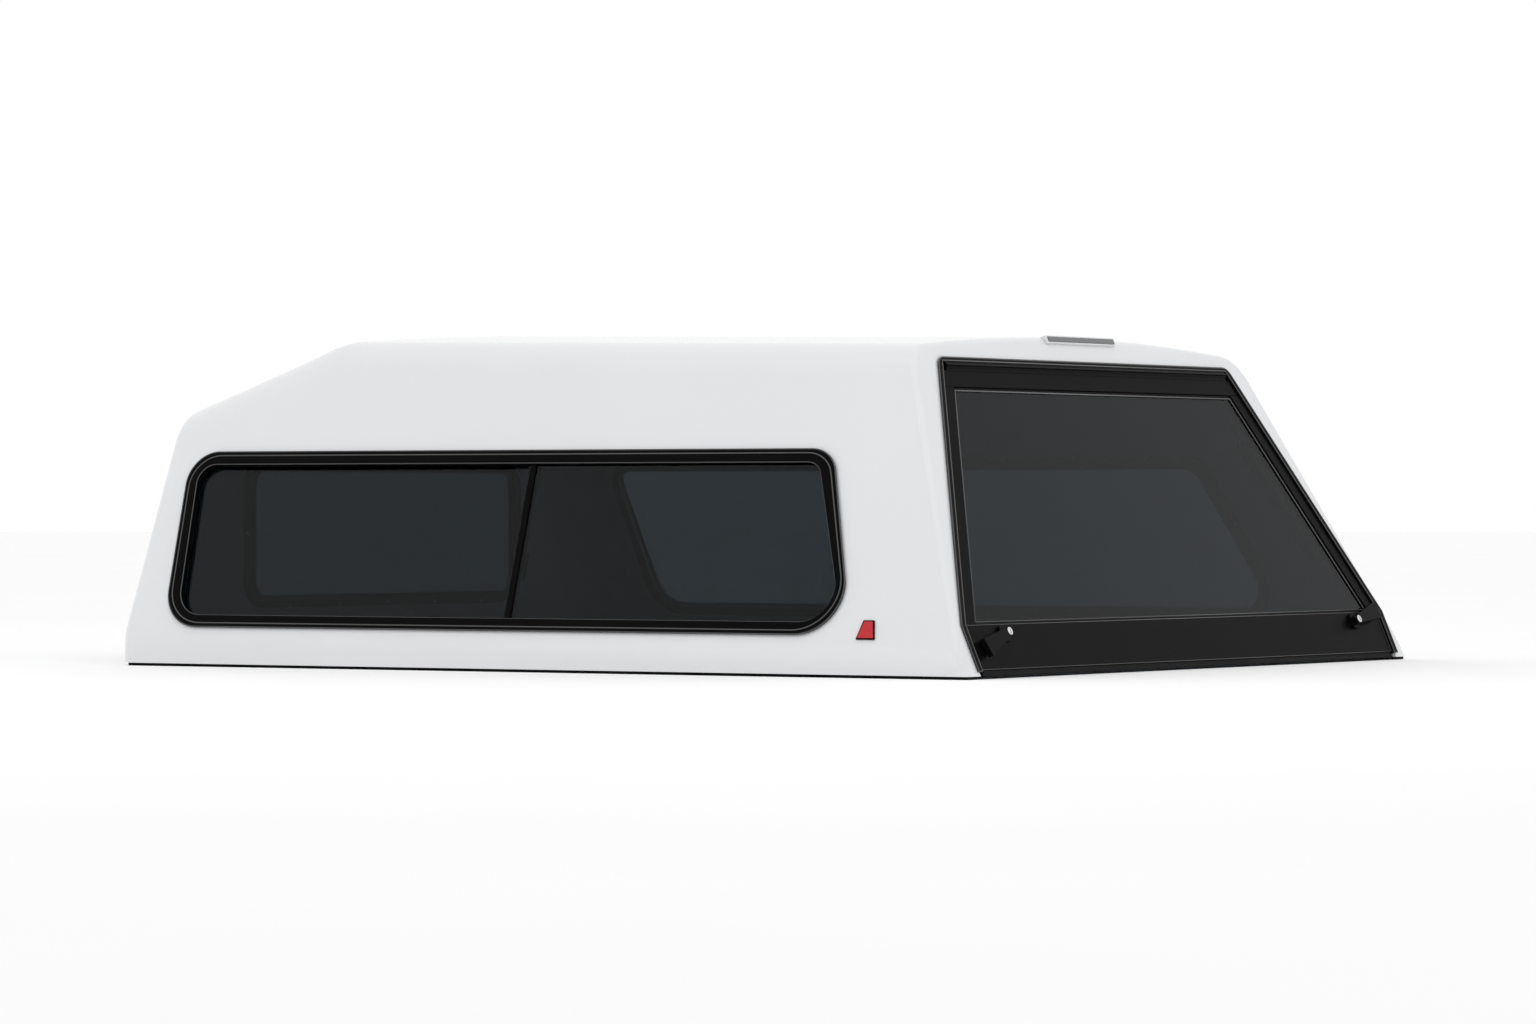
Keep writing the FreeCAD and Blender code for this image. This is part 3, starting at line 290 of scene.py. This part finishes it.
def mix_colour(tree, factor, first, second):
    """Blends two colours, each a link or a plain one."""
    node = add_node(tree, "ShaderNodeMix", data_type="RGBA")
    for index, given in ((0, factor), (6, first), (7, second)):
        feed(tree, node.inputs[index], given)
    return node.outputs[2]


def mix_value(tree, factor, first, second):
    """Blends two values."""
    node = add_node(tree, "ShaderNodeMix", data_type="FLOAT")
    for index, given in ((0, factor), (2, first), (3, second)):
        feed(tree, node.inputs[index], given)
    return node.outputs[0]


def relief(tree, height, distance, strength, under=None):
    """Normal that a height pattern gives, over another normal if there is one."""
    node = add_node(tree, "ShaderNodeBump")
    feed_named(tree, node, {"Height": height, "Distance": distance, "Strength": strength})
    if under is not None:
        tree.links.new(under, node.inputs["Normal"])
    return node.outputs["Normal"]


def shaded(colour, factor):
    """A colour made darker or lighter, but no lighter than white."""
    return tuple(min(1.0, channel * factor) for channel in colour)


# ---------------------------------------------------------------- node groups

def new_group(name, inputs, outputs):
    """Empty shader group with its sockets; returns the tree and its two ends."""
    tree = bpy.data.node_groups.new(name, "ShaderNodeTree")
    for label, kind, default in inputs:
        socket = tree.interface.new_socket(name=label, in_out="INPUT", socket_type=kind)
        if default is not None:
            socket.default_value = default
    for label, kind in outputs:
        tree.interface.new_socket(name=label, in_out="OUTPUT", socket_type=kind)
    return tree, tree.nodes.new("NodeGroupInput"), tree.nodes.new("NodeGroupOutput")


def build_grain():
    """Fine surface grain as a normal."""
    tree, given, out = new_group(
        "Surface Grain",
        [("Vector", "NodeSocketVector", None), ("Scale", "NodeSocketFloat", 900.0),
         ("Depth", "NodeSocketFloat", 0.0002), ("Strength", "NodeSocketFloat", 0.4)],
        [("Normal", "NodeSocketVector")])
    height = noise(tree, given.outputs["Vector"], given.outputs["Scale"], detail=2.0,
                   roughness=0.5)
    normal = relief(tree, height, given.outputs["Depth"], given.outputs["Strength"])
    tree.links.new(normal, out.inputs["Normal"])


def build_dust():
    """Road dust that settles on upward faces and low down."""
    tree, given, out = new_group(
        "Dust Film",
        [("Vector", "NodeSocketVector", None), ("Colour", "NodeSocketColor", (0.5, 0.5, 0.5, 1)),
         ("Dust", "NodeSocketColor", (0.45, 0.42, 0.38, 1)), ("Amount", "NodeSocketFloat", 0.1),
         ("Gloss", "NodeSocketFloat", 0.3), ("Dusty Gloss", "NodeSocketFloat", 0.6)],
        [("Colour", "NodeSocketColor"), ("Roughness", "NodeSocketFloat")])
    cloud = noise(tree, given.outputs["Vector"], scale=5.0, detail=6.0, roughness=0.6)
    speck = noise(tree, given.outputs["Vector"], scale=160.0, detail=2.0, roughness=0.5)
    mottled = combine(tree, "MULTIPLY", spread(tree, cloud, 0.38, 0.72, 0.15, 1.0),
                      spread(tree, speck, 0.35, 0.7, 0.5, 1.0))
    shape = add_node(tree, "ShaderNodeNewGeometry")
    split = add_node(tree, "ShaderNodeSeparateXYZ")
    tree.links.new(shape.outputs["Normal"], split.inputs[0])
    upward = spread(tree, split.outputs["Z"], -0.2, 1.0, 0.35, 1.0)
    place = add_node(tree, "ShaderNodeSeparateXYZ")
    tree.links.new(given.outputs["Vector"], place.inputs[0])
    low = spread(tree, place.outputs["Z"], 0.0, 0.16, 0.7, 0.0)
    cover = combine(tree, "MULTIPLY", mottled, combine(tree, "ADD", upward, low))
    cover = combine(tree, "MULTIPLY", cover, given.outputs["Amount"], clamp=True)
    tree.links.new(mix_colour(tree, cover, given.outputs["Colour"], given.outputs["Dust"]),
                   out.inputs["Colour"])
    tree.links.new(mix_value(tree, cover, given.outputs["Gloss"], given.outputs["Dusty Gloss"]),
                   out.inputs["Roughness"])


def build_smear():
    """Faint wiping marks and drying water, for glass and lenses."""
    tree, given, out = new_group(
        "Wiping Marks",
        [("Vector", "NodeSocketVector", None), ("Base", "NodeSocketFloat", 0.03),
         ("Marks", "NodeSocketFloat", 0.05)],
        [("Roughness", "NodeSocketFloat")])
    stretch = add_node(tree, "ShaderNodeMapping")
    stretch.inputs["Rotation"].default_value = (0.5, 0.3, 0.9)
    stretch.inputs["Scale"].default_value = (1.0, 5.0, 2.0)
    tree.links.new(given.outputs["Vector"], stretch.inputs["Vector"])
    streaks = noise(tree, stretch.outputs[0], scale=6.0, detail=5.0, roughness=0.6)
    wipe = spread(tree, streaks, 0.45, 0.75)
    reach = combine(tree, "MULTIPLY", wipe, given.outputs["Marks"])
    tree.links.new(combine(tree, "ADD", reach, given.outputs["Base"]), out.inputs["Roughness"])


# ---------------------------------------------------------------- materials

MATERIALS = {}


def start_material(name):
    """New material; returns its tree, its shader and the place on the piece."""
    material = bpy.data.materials.new(name)
    material.use_nodes = True
    tree = material.node_tree
    MATERIALS[name] = material
    place = add_node(tree, "ShaderNodeTexCoord").outputs["Object"]
    return tree, tree.nodes["Principled BSDF"], place


def use_group(tree, name, place, **given):
    """One of the shared node groups, placed in a material with its own values."""
    node = add_node(tree, "ShaderNodeGroup", node_tree=bpy.data.node_groups[name])
    feed_named(tree, node, {"Vector": place, **given})
    return node.outputs


def coated(name, colour, gloss, grain, depth, dust, metallic=0.0, specular=0.5, shade=0.2):
    """Opaque finish: colour that varies a little, grain and a film of dust."""
    tree, shader, place = start_material(name)
    cloud = spread(tree, noise(tree, place, scale=3.0, detail=4.0), 0.3, 0.7)
    varied = mix_colour(tree, cloud, shaded(colour, 1 - shade), tuple(colour))
    film = use_group(tree, "Dust Film", place, Colour=varied, Amount=dust, Gloss=gloss,
                     Dusty_Gloss=min(1.0, gloss + 0.3))
    fine = use_group(tree, "Surface Grain", place, Scale=grain, Depth=depth)
    feed_named(tree, shader, {
        "Base Color": film["Colour"], "Roughness": film["Roughness"], "Normal": fine["Normal"],
        "Metallic": metallic, "Specular IOR Level": specular})


def tinted_glass(name, tint, marks, refraction):
    """Dark glass, clear in itself, with faint wiping marks."""
    tree, shader, place = start_material(name)
    film = use_group(tree, "Wiping Marks", place, Base=0.015, Marks=marks)
    haze = spread(tree, noise(tree, place, scale=2.2), 0.35, 0.7)
    feed_named(tree, shader, {
        "Base Color": mix_colour(tree, haze, tuple(tint), shaded(tint, 1.08)),
        "Roughness": film["Roughness"], "Transmission Weight": 1.0, "IOR": refraction})


def ribbed(name, colour, across, pitch, gloss):
    """Moulded lens with fine prisms: one run of ribs, or two crossed ones; its colour is painted
    darker in the ribs' grooves as painted shade.
    """
    tree, shader, place = start_material(name)
    film = use_group(tree, "Wiping Marks", place, Base=gloss, Marks=0.05)
    ribs = []
    for direction in across:
        wave = add_node(tree, "ShaderNodeTexWave", wave_type="BANDS", bands_direction=direction,
                        wave_profile="TRI")
        feed_named(tree, wave, {"Vector": place, "Scale": WAVE_SPAN / pitch})
        ribs.append(wave.outputs["Fac"])
    height = combine(tree, "MULTIPLY", ribs[0], ribs[-1])
    # Painted shade: the lens colour drops to 0.6 of itself in the ribs' grooves, where the rib
    # height is low.
    feed_named(tree, shader, {
        "Base Color": mix_colour(tree, height, shaded(colour, 0.6), tuple(colour)),
        "Roughness": film["Roughness"],
        "Normal": relief(tree, height, distance=0.0006, strength=0.8),
        "Coat Weight": 0.3, "Coat Roughness": 0.04, "Specular IOR Level": 0.25})


def make_gelcoat():
    """Sprayed white gelcoat: glossy, with a soft ripple of the moulding."""
    tree, shader, place = start_material("white_gelcoat")
    white = tuple(colours().gelcoat)
    cloud = spread(tree, noise(tree, place, scale=1.6, detail=4.0), 0.3, 0.7)
    varied = mix_colour(tree, cloud, shaded(white, 0.975), white)
    film = use_group(tree, "Dust Film", place, Colour=varied, Dust=(0.56, 0.54, 0.5), Amount=0.07,
                     Gloss=0.24, Dusty_Gloss=0.5)
    soft = noise(tree, place, scale=3.5, detail=1.0, roughness=0.4)
    ripple = relief(tree, soft, distance=0.004, strength=0.25)
    fine = noise(tree, place, scale=420.0, detail=2.0, roughness=0.5)
    peel = relief(tree, fine, distance=0.0002, strength=0.12, under=ripple)
    feed_named(tree, shader, {
        "Base Color": film["Colour"], "Roughness": film["Roughness"], "Normal": peel,
        "Coat Weight": 0.5, "Coat Roughness": 0.05})


def make_materials():
    """Builds the shared groups, then every finish but the floor's."""
    build_grain()
    build_dust()
    build_smear()
    colour = colours()
    make_gelcoat()
    coated("black_rubber", colour.rubber, gloss=0.5, grain=700.0, depth=0.0003, dust=0.02,
           specular=0.04)
    coated("black_aluminium", colour.black, gloss=0.3, grain=1500.0, depth=0.00012, dust=0.005,
           specular=0.02)
    coated("black_plastic", colour.black, gloss=0.36, grain=1100.0, depth=0.00025, dust=0.005,
           specular=0.03)
    coated("black_steel", colour.black, gloss=0.22, grain=900.0, depth=0.00004, dust=0.02,
           specular=0.9)
    coated("zinc_steel", colour.zinc, gloss=0.36, grain=500.0, depth=0.00008, dust=0.12,
           metallic=1.0, shade=0.3)
    coated("chrome", colour.chrome, gloss=0.09, grain=300.0, depth=0.00002, dust=0.04,
           metallic=1.0, shade=0.1)
    tinted_glass("side_glass", colour.side_tint, marks=0.035, refraction=1.25)
    tinted_glass("rear_glass", colour.rear_tint, marks=0.05, refraction=1.16)
    ribbed("red_lens", colour.red, across="YZ", pitch=0.0032, gloss=0.12)
    ribbed("smoked_lens", colour.smoke, across="X", pitch=0.005, gloss=0.14)


# ---------------------------------------------------------------- modelling

def deselect():
    bpy.ops.object.select_all(action="DESELECT")


def activate(piece):
    """Selects one piece alone."""
    deselect()
    piece.select_set(True)
    bpy.context.view_layer.objects.active = piece


def edit(piece):
    """Opens a piece in edit mode with nothing selected; returns its mesh."""
    activate(piece)
    bpy.ops.object.mode_set(mode="EDIT")
    bpy.ops.mesh.select_all(action="DESELECT")
    return bmesh.from_edit_mesh(piece.data)


def leave_edit():
    bpy.ops.object.mode_set(mode="OBJECT")


def apply_place():
    """Puts the selected pieces' place, turn and scale into their meshes."""
    bpy.ops.object.transform_apply(location=True, rotation=True, scale=True)


def turn_to(direction, axis="Z"):
    """Turn that points an axis of a piece in a direction."""
    return direction.to_track_quat(axis, "Y").to_euler()


def apply_modifier(piece, name, kind, **settings):
    """Adds a modifier with its settings and applies it."""
    activate(piece)
    modifier = piece.modifiers.new(name, kind)
    for label, setting in settings.items():
        setattr(modifier, label, setting)
    bpy.ops.object.modifier_apply(modifier=modifier.name)


def coat(piece, slot):
    """Gives a piece the finish of one of the record's slots."""
    piece.data.materials.clear()
    piece.data.materials.append(MATERIALS[slot])


def copy_of(node, name):
    """Merged copy of a frame piece, with its flat faces made whole."""
    source = frame["nodes"][node]
    piece = bpy.data.objects.new(name, source.data.copy())
    bpy.context.scene.collection.objects.link(piece)
    piece.data.materials.clear()
    activate(piece)
    bpy.ops.object.mode_set(mode="EDIT")
    bpy.ops.mesh.select_all(action="SELECT")
    bpy.ops.mesh.remove_doubles(threshold=MERGE_DISTANCE)
    bpy.ops.mesh.dissolve_limited(angle_limit=FLAT_ANGLE)
    leave_edit()
    return piece


def soften(piece, width, smooth, segments):
    """Rounds the sharp edges and shades the piece without facets."""
    if width:
        apply_modifier(piece, "Edge Round", "BEVEL", width=width, segments=segments,
                       limit_method="ANGLE", angle_limit=SHARP_ANGLE)
    activate(piece)
    bpy.ops.object.shade_smooth_by_angle(angle=math.radians(smooth))
    apply_modifier(piece, "Even Shading", "WEIGHTED_NORMAL", keep_sharp=True, weight=80)


def refine(node, width, slot=None, smooth=SMOOTH, segments=2):
    """Puts a finished piece in the place of a frame node."""
    piece = copy_of(node, f"{node}_finished")
    soften(piece, width, smooth, segments)
    coat(piece, slot or SLOT_OF[node])
    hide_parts(node)
    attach(piece, BODY_OF[node])


def rim_loops(mesh, outward):
    """Closed runs of edges round the outermost faces that look outward.

    The longest run comes first, and each keeps the mesh's own order of edges.
    """
    facing = [face for face in mesh.faces if face.normal.dot(outward) > FACING]
    exact = max(facing, key=lambda face: face.calc_area()).normal.copy()
    height = {face: face.calc_center_median().dot(exact) for face in facing}
    top = max(height.values())
    facing = {face for face in facing if top - height[face] < SAME_LEVEL}
    rim = {edge for edge in mesh.edges
           if any(face in facing for face in edge.link_faces)
           and not all(face in facing for face in edge.link_faces)}
    loops = []
    while rim:
        run = [rim.pop()]
        grown = True
        while grown:
            ends = {vertex for edge in run for vertex in edge.verts}
            more = {edge for edge in rim if ends.intersection(edge.verts)}
            rim -= more
            run.extend(more)
            grown = bool(more)
        loops.append(sorted(run, key=lambda edge: edge.index))
    return sorted(loops, key=lambda run: -sum(edge.calc_length() for edge in run))


def draw_in(mesh, distance):
    """Moves the selected closed run inwards over the face that it lies on."""
    points = [vertex.co for vertex in mesh.verts if vertex.select]
    low, high = (Vector([pick(point[axis] for point in points) for axis in range(3)])
                 for pick in (min, max))
    span = high - low
    long_axis = max(range(3), key=lambda axis: span[axis])
    length = span[long_axis]
    height = math.sqrt(max(span.length_squared - length ** 2, 0.0))
    value = [1 - 2 * distance / height] * 3
    value[long_axis] = 1 - 2 * distance / length
    bpy.ops.transform.resize(value=value, center_override=(low + high) / 2)


def add_bead(node, outward, rim, radius, name, slot, lift, inward=0.0):
    """Round bead along one rim of a frame piece, or inwards from that rim."""
    source = copy_of(node, f"{name}_source")
    mesh = edit(source)
    for edge in rim_loops(mesh, outward)[rim]:
        edge.select = True
    mesh.select_flush(True)
    bmesh.update_edit_mesh(source.data)
    bpy.ops.mesh.select_mode(type="EDGE")
    bpy.ops.mesh.duplicate()
    bpy.ops.transform.translate(value=outward * lift)
    if inward:
        draw_in(bmesh.from_edit_mesh(source.data), inward)
    bpy.ops.mesh.separate(type="SELECTED")
    leave_edit()
    bead = next(obj for obj in bpy.context.selected_objects if obj is not source)
    bpy.data.objects.remove(source)
    activate(bead)
    bead.name = name
    bpy.ops.object.convert(target="CURVE")
    bead.data.bevel_depth = radius
    bead.data.bevel_resolution = 3
    bead.data.use_fill_caps = True
    bpy.ops.object.convert(target="MESH")
    bpy.ops.object.shade_smooth()
    coat(bead, slot)
    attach(bead, BODY_OF[node])


def add_screw(name, slot):
    """One pan-head screw with a round recess, standing on the floor's origin."""
    radius = sizes().screw
    deselect()
    bpy.ops.mesh.primitive_cylinder_add(vertices=20, radius=radius, depth=radius * HEAD_HEIGHT,
                                        location=(0, 0, radius * HEAD_MIDDLE))
    screw = bpy.context.object
    screw.name = name
    mesh = edit(screw)
    for face in mesh.faces:
        face.select = face.normal.z > 0.9
    bmesh.update_edit_mesh(screw.data)
    bpy.ops.mesh.select_mode(type="FACE")
    bpy.ops.mesh.inset(thickness=radius * CROWN_INSET, depth=radius * CROWN_RISE)
    bpy.ops.mesh.inset(thickness=radius * RECESS_INSET)
    bpy.ops.mesh.extrude_region_move(
        TRANSFORM_OT_translate={"value": (0, 0, -radius * RECESS_DEPTH)})
    leave_edit()
    activate(screw)
    apply_place()
    bpy.ops.object.shade_smooth_by_angle(angle=SHARP_ANGLE)
    coat(screw, slot)
    return screw


def place_screws(name, spots, direction, body, slot="zinc_steel"):
    """Screws that stand at the given places, joined into one piece."""
    first = add_screw(f"{name}_pattern", slot)
    turn = turn_to(direction).to_matrix().to_4x4()
    made = []
    for spot in spots:
        activate(first)
        bpy.ops.object.duplicate()
        screw = bpy.context.object
        screw.matrix_world = Matrix.Translation(spot) @ turn
        apply_place()
        made.append(screw)
    bpy.data.objects.remove(first)
    deselect()
    for screw in made:
        screw.select_set(True)
    bpy.context.view_layer.objects.active = made[0]
    bpy.ops.object.join()
    piece = bpy.context.object
    piece.name = name
    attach(piece, body)


def along_ring(node, outward, pitch, inset):
    """Evenly spaced places on a flat ring's outward face, just inside its rim."""
    source = copy_of(node, f"{node}_pitch_source")
    mesh = bmesh.new()
    mesh.from_mesh(source.data)
    outer, inner = rim_loops(mesh, outward)[:2]
    inner_points = [vertex.co.copy() for edge in inner for vertex in edge.verts]
    centre = sum(inner_points, Vector()) / len(inner_points)
    spots = []
    for edge in outer:
        start, end = (vertex.co.copy() for vertex in edge.verts)
        length = (end - start).length
        if length < pitch * SHORTEST_RUN:
            continue
        count = max(1, round(length / pitch))
        spots.extend(start.lerp(end, (index + 0.5) / count) for index in range(count))
    mesh.free()
    bpy.data.objects.remove(source)
    return [spot + (centre - spot).normalized() * inset for spot in spots]


def trim_window(place, outward, bead_slot, gasket_slot, gasket_depth):
    """Adds a window's bead, ridge and gasket, and the screws of its clamp ring."""
    size = sizes()
    window = f"{place}_window_frame"
    add_bead(window, outward, OUTER_RIM, size.bead, f"{place}_frame_bead", bead_slot,
             -size.bead * FRAME_BEAD_SINK)
    add_bead(window, outward, OUTER_RIM, size.ridge, f"{place}_frame_ridge", "black_steel",
             -size.ridge * RIDGE_SINK, size.ridge_place)
    add_bead(window, outward, INNER_RIM, size.gasket, f"{place}_pane_gasket", gasket_slot,
             -gasket_depth)
    spots = along_ring(f"{place}_clamp_ring", -outward, size.screw_pitch, SCREW_INSET)
    place_screws(f"{place}_clamp_screws", spots, -outward, "canopy")


# ---------------------------------------------------------------- operators

class CANOPY_OT_materials(bpy.types.Operator):
    """Make every finish that the canopy's pieces wear"""
    bl_idname = "canopy.materials"
    bl_label = "Make Finishes"

    def execute(self, context):
        make_materials()
        return {"FINISHED"}


class CANOPY_OT_shell(bpy.types.Operator):
    """Smooth the fibreglass shell and finish the foam seal under it"""
    bl_idname = "canopy.shell"
    bl_label = "Finish Shell"

    def execute(self, context):
        refine("shell", 0.0, smooth=SHELL_SMOOTH)
        refine("rail_seal", sizes().rubber_round)
        return {"FINISHED"}


class CANOPY_OT_side_windows(bpy.types.Operator):
    """Finish the sliding side windows, with their beads, gaskets and screws"""
    bl_idname = "canopy.side_windows"
    bl_label = "Finish Side Windows"

    def execute(self, context):
        size = sizes()
        for side in SIDES:
            for part, width in (("window_frame", size.frame_round),
                                ("clamp_ring", size.frame_round),
                                ("meeting_rail", size.frame_round),
                                ("pane_latch", size.moulding_round),
                                ("front_pane", FINE_EDGE), ("rear_pane", FINE_EDGE)):
                refine(f"{side}_{part}", width)
            trim_window(side, OUTWARD[side], "black_steel", "black_steel", SIDE_GASKET_DEPTH)
        return {"FINISHED"}


class CANOPY_OT_front_window(bpy.types.Operator):
    """Finish the fixed window in the front wall"""
    bl_idname = "canopy.front_window"
    bl_label = "Finish Front Window"

    def execute(self, context):
        size = sizes()
        refine("front_window_frame", size.frame_round)
        refine("front_clamp_ring", size.frame_round)
        refine("front_pane", FINE_EDGE, "rear_glass")
        trim_window("front", FRONT, "black_aluminium", "black_rubber", FRONT_GASKET_DEPTH)
        return {"FINISHED"}


class CANOPY_OT_rear_door(bpy.types.Operator):
    """Finish the rear door: frame, glass, seals, sweep and hinge"""
    bl_idname = "canopy.rear_door"
    bl_label = "Finish Rear Door"

    def execute(self, context):
        size = sizes()
        for node in ("door_top_rail", "door_left_stile", "door_right_stile", "door_bottom_rail",
                     "hinge_rail"):
            refine(node, size.frame_round)
        for node in ("door_seal", "door_glazing_rubber", "door_sweep"):
            refine(node, size.rubber_round)
        refine("door_glass", THIN_EDGE)
        for node, rim, radius, name in (
                ("door_seal", OUTER_RIM, size.bead, "door_seal_bead"),
                ("door_glazing_rubber", INNER_RIM, size.gasket, "door_glass_gasket"),
                ("door_bottom_rail", OUTER_RIM, size.bead * RAIL_BEAD_SHARE, "door_rail_bead")):
            add_bead(node, REAR, rim, radius, name, "black_steel", -radius * DOOR_BEAD_SINK)
        return {"FINISHED"}


class CANOPY_OT_handles(bpy.types.Operator):
    """Finish the two locking handles and their latch cams"""
    bl_idname = "canopy.handles"
    bl_label = "Finish Handles"

    def execute(self, context):
        size = sizes()
        for side in SIDES:
            refine(f"{side}_handle_base", size.moulding_round, segments=3)
            refine(f"{side}_handle_lever", size.lever_round, segments=4)
            for part, width in (("lock_cylinder", THIN_EDGE), ("latch_cam", THIN_EDGE),
                                ("latch_keeper", SMALL_EDGE)):
                refine(f"{side}_{part}", width)
            self.add_ring(side)
            self.add_keyway(side)
        return {"FINISHED"}

    def lock_place(self, side, part):
        """Point on the lock's axis that is level with a handle part's outer face."""
        low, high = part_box(f"{side}_lock_cylinder")
        centre = (low + high) / 2
        reach = max((vertex.co - centre).dot(REAR)
                    for vertex in frame["nodes"][f"{side}_{part}"].data.vertices)
        return centre + REAR * reach

    def add_ring(self, side):
        """Bright ring round the lock, seated on the lever."""
        radius = sizes().lock_ring
        deselect()
        bpy.ops.mesh.primitive_torus_add(
            major_segments=40, minor_segments=10, major_radius=radius,
            minor_radius=radius * RING_SECTION,
            location=self.lock_place(side, "handle_lever"), rotation=turn_to(REAR))
        ring = bpy.context.object
        ring.name = f"{side}_lock_ring"
        apply_place()
        bpy.ops.object.shade_smooth()
        coat(ring, "chrome")
        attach(ring, f"{side}_handle")

    def add_keyway(self, side):
        """Dark slot across the lock's face."""
        deselect()
        bpy.ops.mesh.primitive_cube_add(size=1, location=self.lock_place(side, "lock_cylinder"),
                                        rotation=turn_to(REAR))
        slot = bpy.context.object
        slot.name = f"{side}_keyway"
        slot.scale = KEYWAY
        apply_place()
        apply_modifier(slot, "Edge Round", "BEVEL", width=KEYWAY_EDGE, segments=2)
        coat(slot, "black_steel")
        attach(slot, f"{side}_handle")


class CANOPY_OT_struts(bpy.types.Operator):
    """Finish the gas struts, their studs and their brackets"""
    bl_idname = "canopy.struts"
    bl_label = "Finish Struts"

    def execute(self, context):
        for side in SIDES:
            for part, width in (("strut_tube", SMALL_EDGE), ("strut_rod", FINE_EDGE),
                                ("strut_mount", THIN_EDGE), ("strut_stud", THIN_EDGE)):
                refine(f"{side}_{part}", width)
        return {"FINISHED"}


class CANOPY_OT_lamps(bpy.types.Operator):
    """Finish the high brake lamp and the side reflectors"""
    bl_idname = "canopy.lamps"
    bl_label = "Finish Lamps"

    def execute(self, context):
        refine("brake_lamp_housing", sizes().pod_round, segments=4)
        refine("brake_lamp_lens", LENS_EDGE, segments=3)
        for side in SIDES:
            refine(f"{side}_reflector_bezel", SMALL_EDGE)
            refine(f"{side}_reflector", LENS_EDGE, segments=3)
        return {"FINISHED"}


class CANOPY_OT_stage(bpy.types.Operator):
    """Set the pale floor, the soft studio light and the camera"""
    bl_idname = "canopy.stage"
    bl_label = "Set Stage"

    def execute(self, context):
        self.add_floor()
        self.add_light(context.scene)
        self.add_camera(context.scene)
        return {"FINISHED"}

    def add_floor(self):
        """Wide matt floor with the faintest clouding."""
        deselect()
        bpy.ops.mesh.primitive_circle_add(vertices=96, radius=FLOOR_RADIUS, fill_type="NGON")
        floor = bpy.context.object
        floor.name = "studio_floor"
        tree, shader, place = start_material("studio_floor")
        pale = tuple(colours().floor)
        cloud = spread(tree, noise(tree, place, scale=0.8), 0.35, 0.7)
        feed_named(tree, shader, {
            "Base Color": mix_colour(tree, cloud, shaded(pale, 0.985), pale),
            "Roughness": 0.85, "Specular IOR Level": 0.15})
        floor.data.materials.append(MATERIALS["studio_floor"])

    def add_light(self, scene):
        """Even white room, a large light overhead and a weaker one from the side."""
        scene.view_settings.view_transform = "Standard"
        world = bpy.data.worlds.new("studio_room")
        world.use_nodes = True
        room = world.node_tree.nodes["Background"]
        room.inputs["Color"].default_value = (1.0, 1.0, 1.0, 1.0)
        room.inputs["Strength"].default_value = scene.canopy_stage.sky
        scene.world = world
        for name, place, size, share in LIGHTS:
            deselect()
            bpy.ops.object.light_add(type="AREA", location=place)
            light = bpy.context.object
            light.name = name
            light.data.size = size
            light.data.energy = scene.canopy_stage.key * share
            light.rotation_euler = turn_to(Vector(LIGHTS_AIM) - Vector(place), "-Z")

    def add_camera(self, scene):
        """Camera at the photograph's angle."""
        settings = scene.canopy_stage
        deselect()
        bpy.ops.object.camera_add(location=settings.camera)
        camera = bpy.context.object
        camera.name = "studio_camera"
        camera.rotation_euler = turn_to(Vector(settings.aim) - Vector(settings.camera), "-Z")
        camera.data.lens = settings.lens
        camera.data.sensor_width = 36
        camera.data.clip_end = 200
        bpy.context.scene.camera = camera


class CANOPY_PT_panel(bpy.types.Panel):
    """Lists the canopy's finishing steps and their settings"""
    bl_label = "Canopy"
    bl_idname = "CANOPY_PT_panel"
    bl_space_type = "VIEW_3D"
    bl_region_type = "UI"
    bl_category = "Canopy"

    def draw(self, context):
        layout = self.layout
        for operator in OPERATORS:
            layout.operator(operator.bl_idname)
        for group in (context.scene.canopy_sizes, context.scene.canopy_colours,
                      context.scene.canopy_stage):
            box = layout.box()
            for name in group.bl_rna.properties.keys():
                if name not in {"rna_type", "name"}:
                    box.prop(group, name)


GROUPS = (CanopySizes, CanopyColours, CanopyStage)
OPERATORS = (CANOPY_OT_materials, CANOPY_OT_shell, CANOPY_OT_side_windows, CANOPY_OT_front_window,
             CANOPY_OT_rear_door, CANOPY_OT_handles, CANOPY_OT_struts, CANOPY_OT_lamps,
             CANOPY_OT_stage)


def register():
    for item in GROUPS + OPERATORS + (CANOPY_PT_panel,):
        bpy.utils.register_class(item)
    scene = bpy.types.Scene
    scene.canopy_sizes = bpy.props.PointerProperty(type=CanopySizes)
    scene.canopy_colours = bpy.props.PointerProperty(type=CanopyColours)
    scene.canopy_stage = bpy.props.PointerProperty(type=CanopyStage)


def unregister():
    scene = bpy.types.Scene
    del scene.canopy_stage, scene.canopy_colours, scene.canopy_sizes
    for item in reversed(GROUPS + OPERATORS + (CANOPY_PT_panel,)):
        bpy.utils.unregister_class(item)


def main():
    register()
    bpy.ops.canopy.materials()
    bpy.ops.canopy.shell()
    bpy.ops.canopy.side_windows()
    bpy.ops.canopy.front_window()
    bpy.ops.canopy.rear_door()
    bpy.ops.canopy.handles()
    bpy.ops.canopy.struts()
    bpy.ops.canopy.lamps()
    bpy.ops.canopy.stage()


if __name__ == "__main__":
    main()
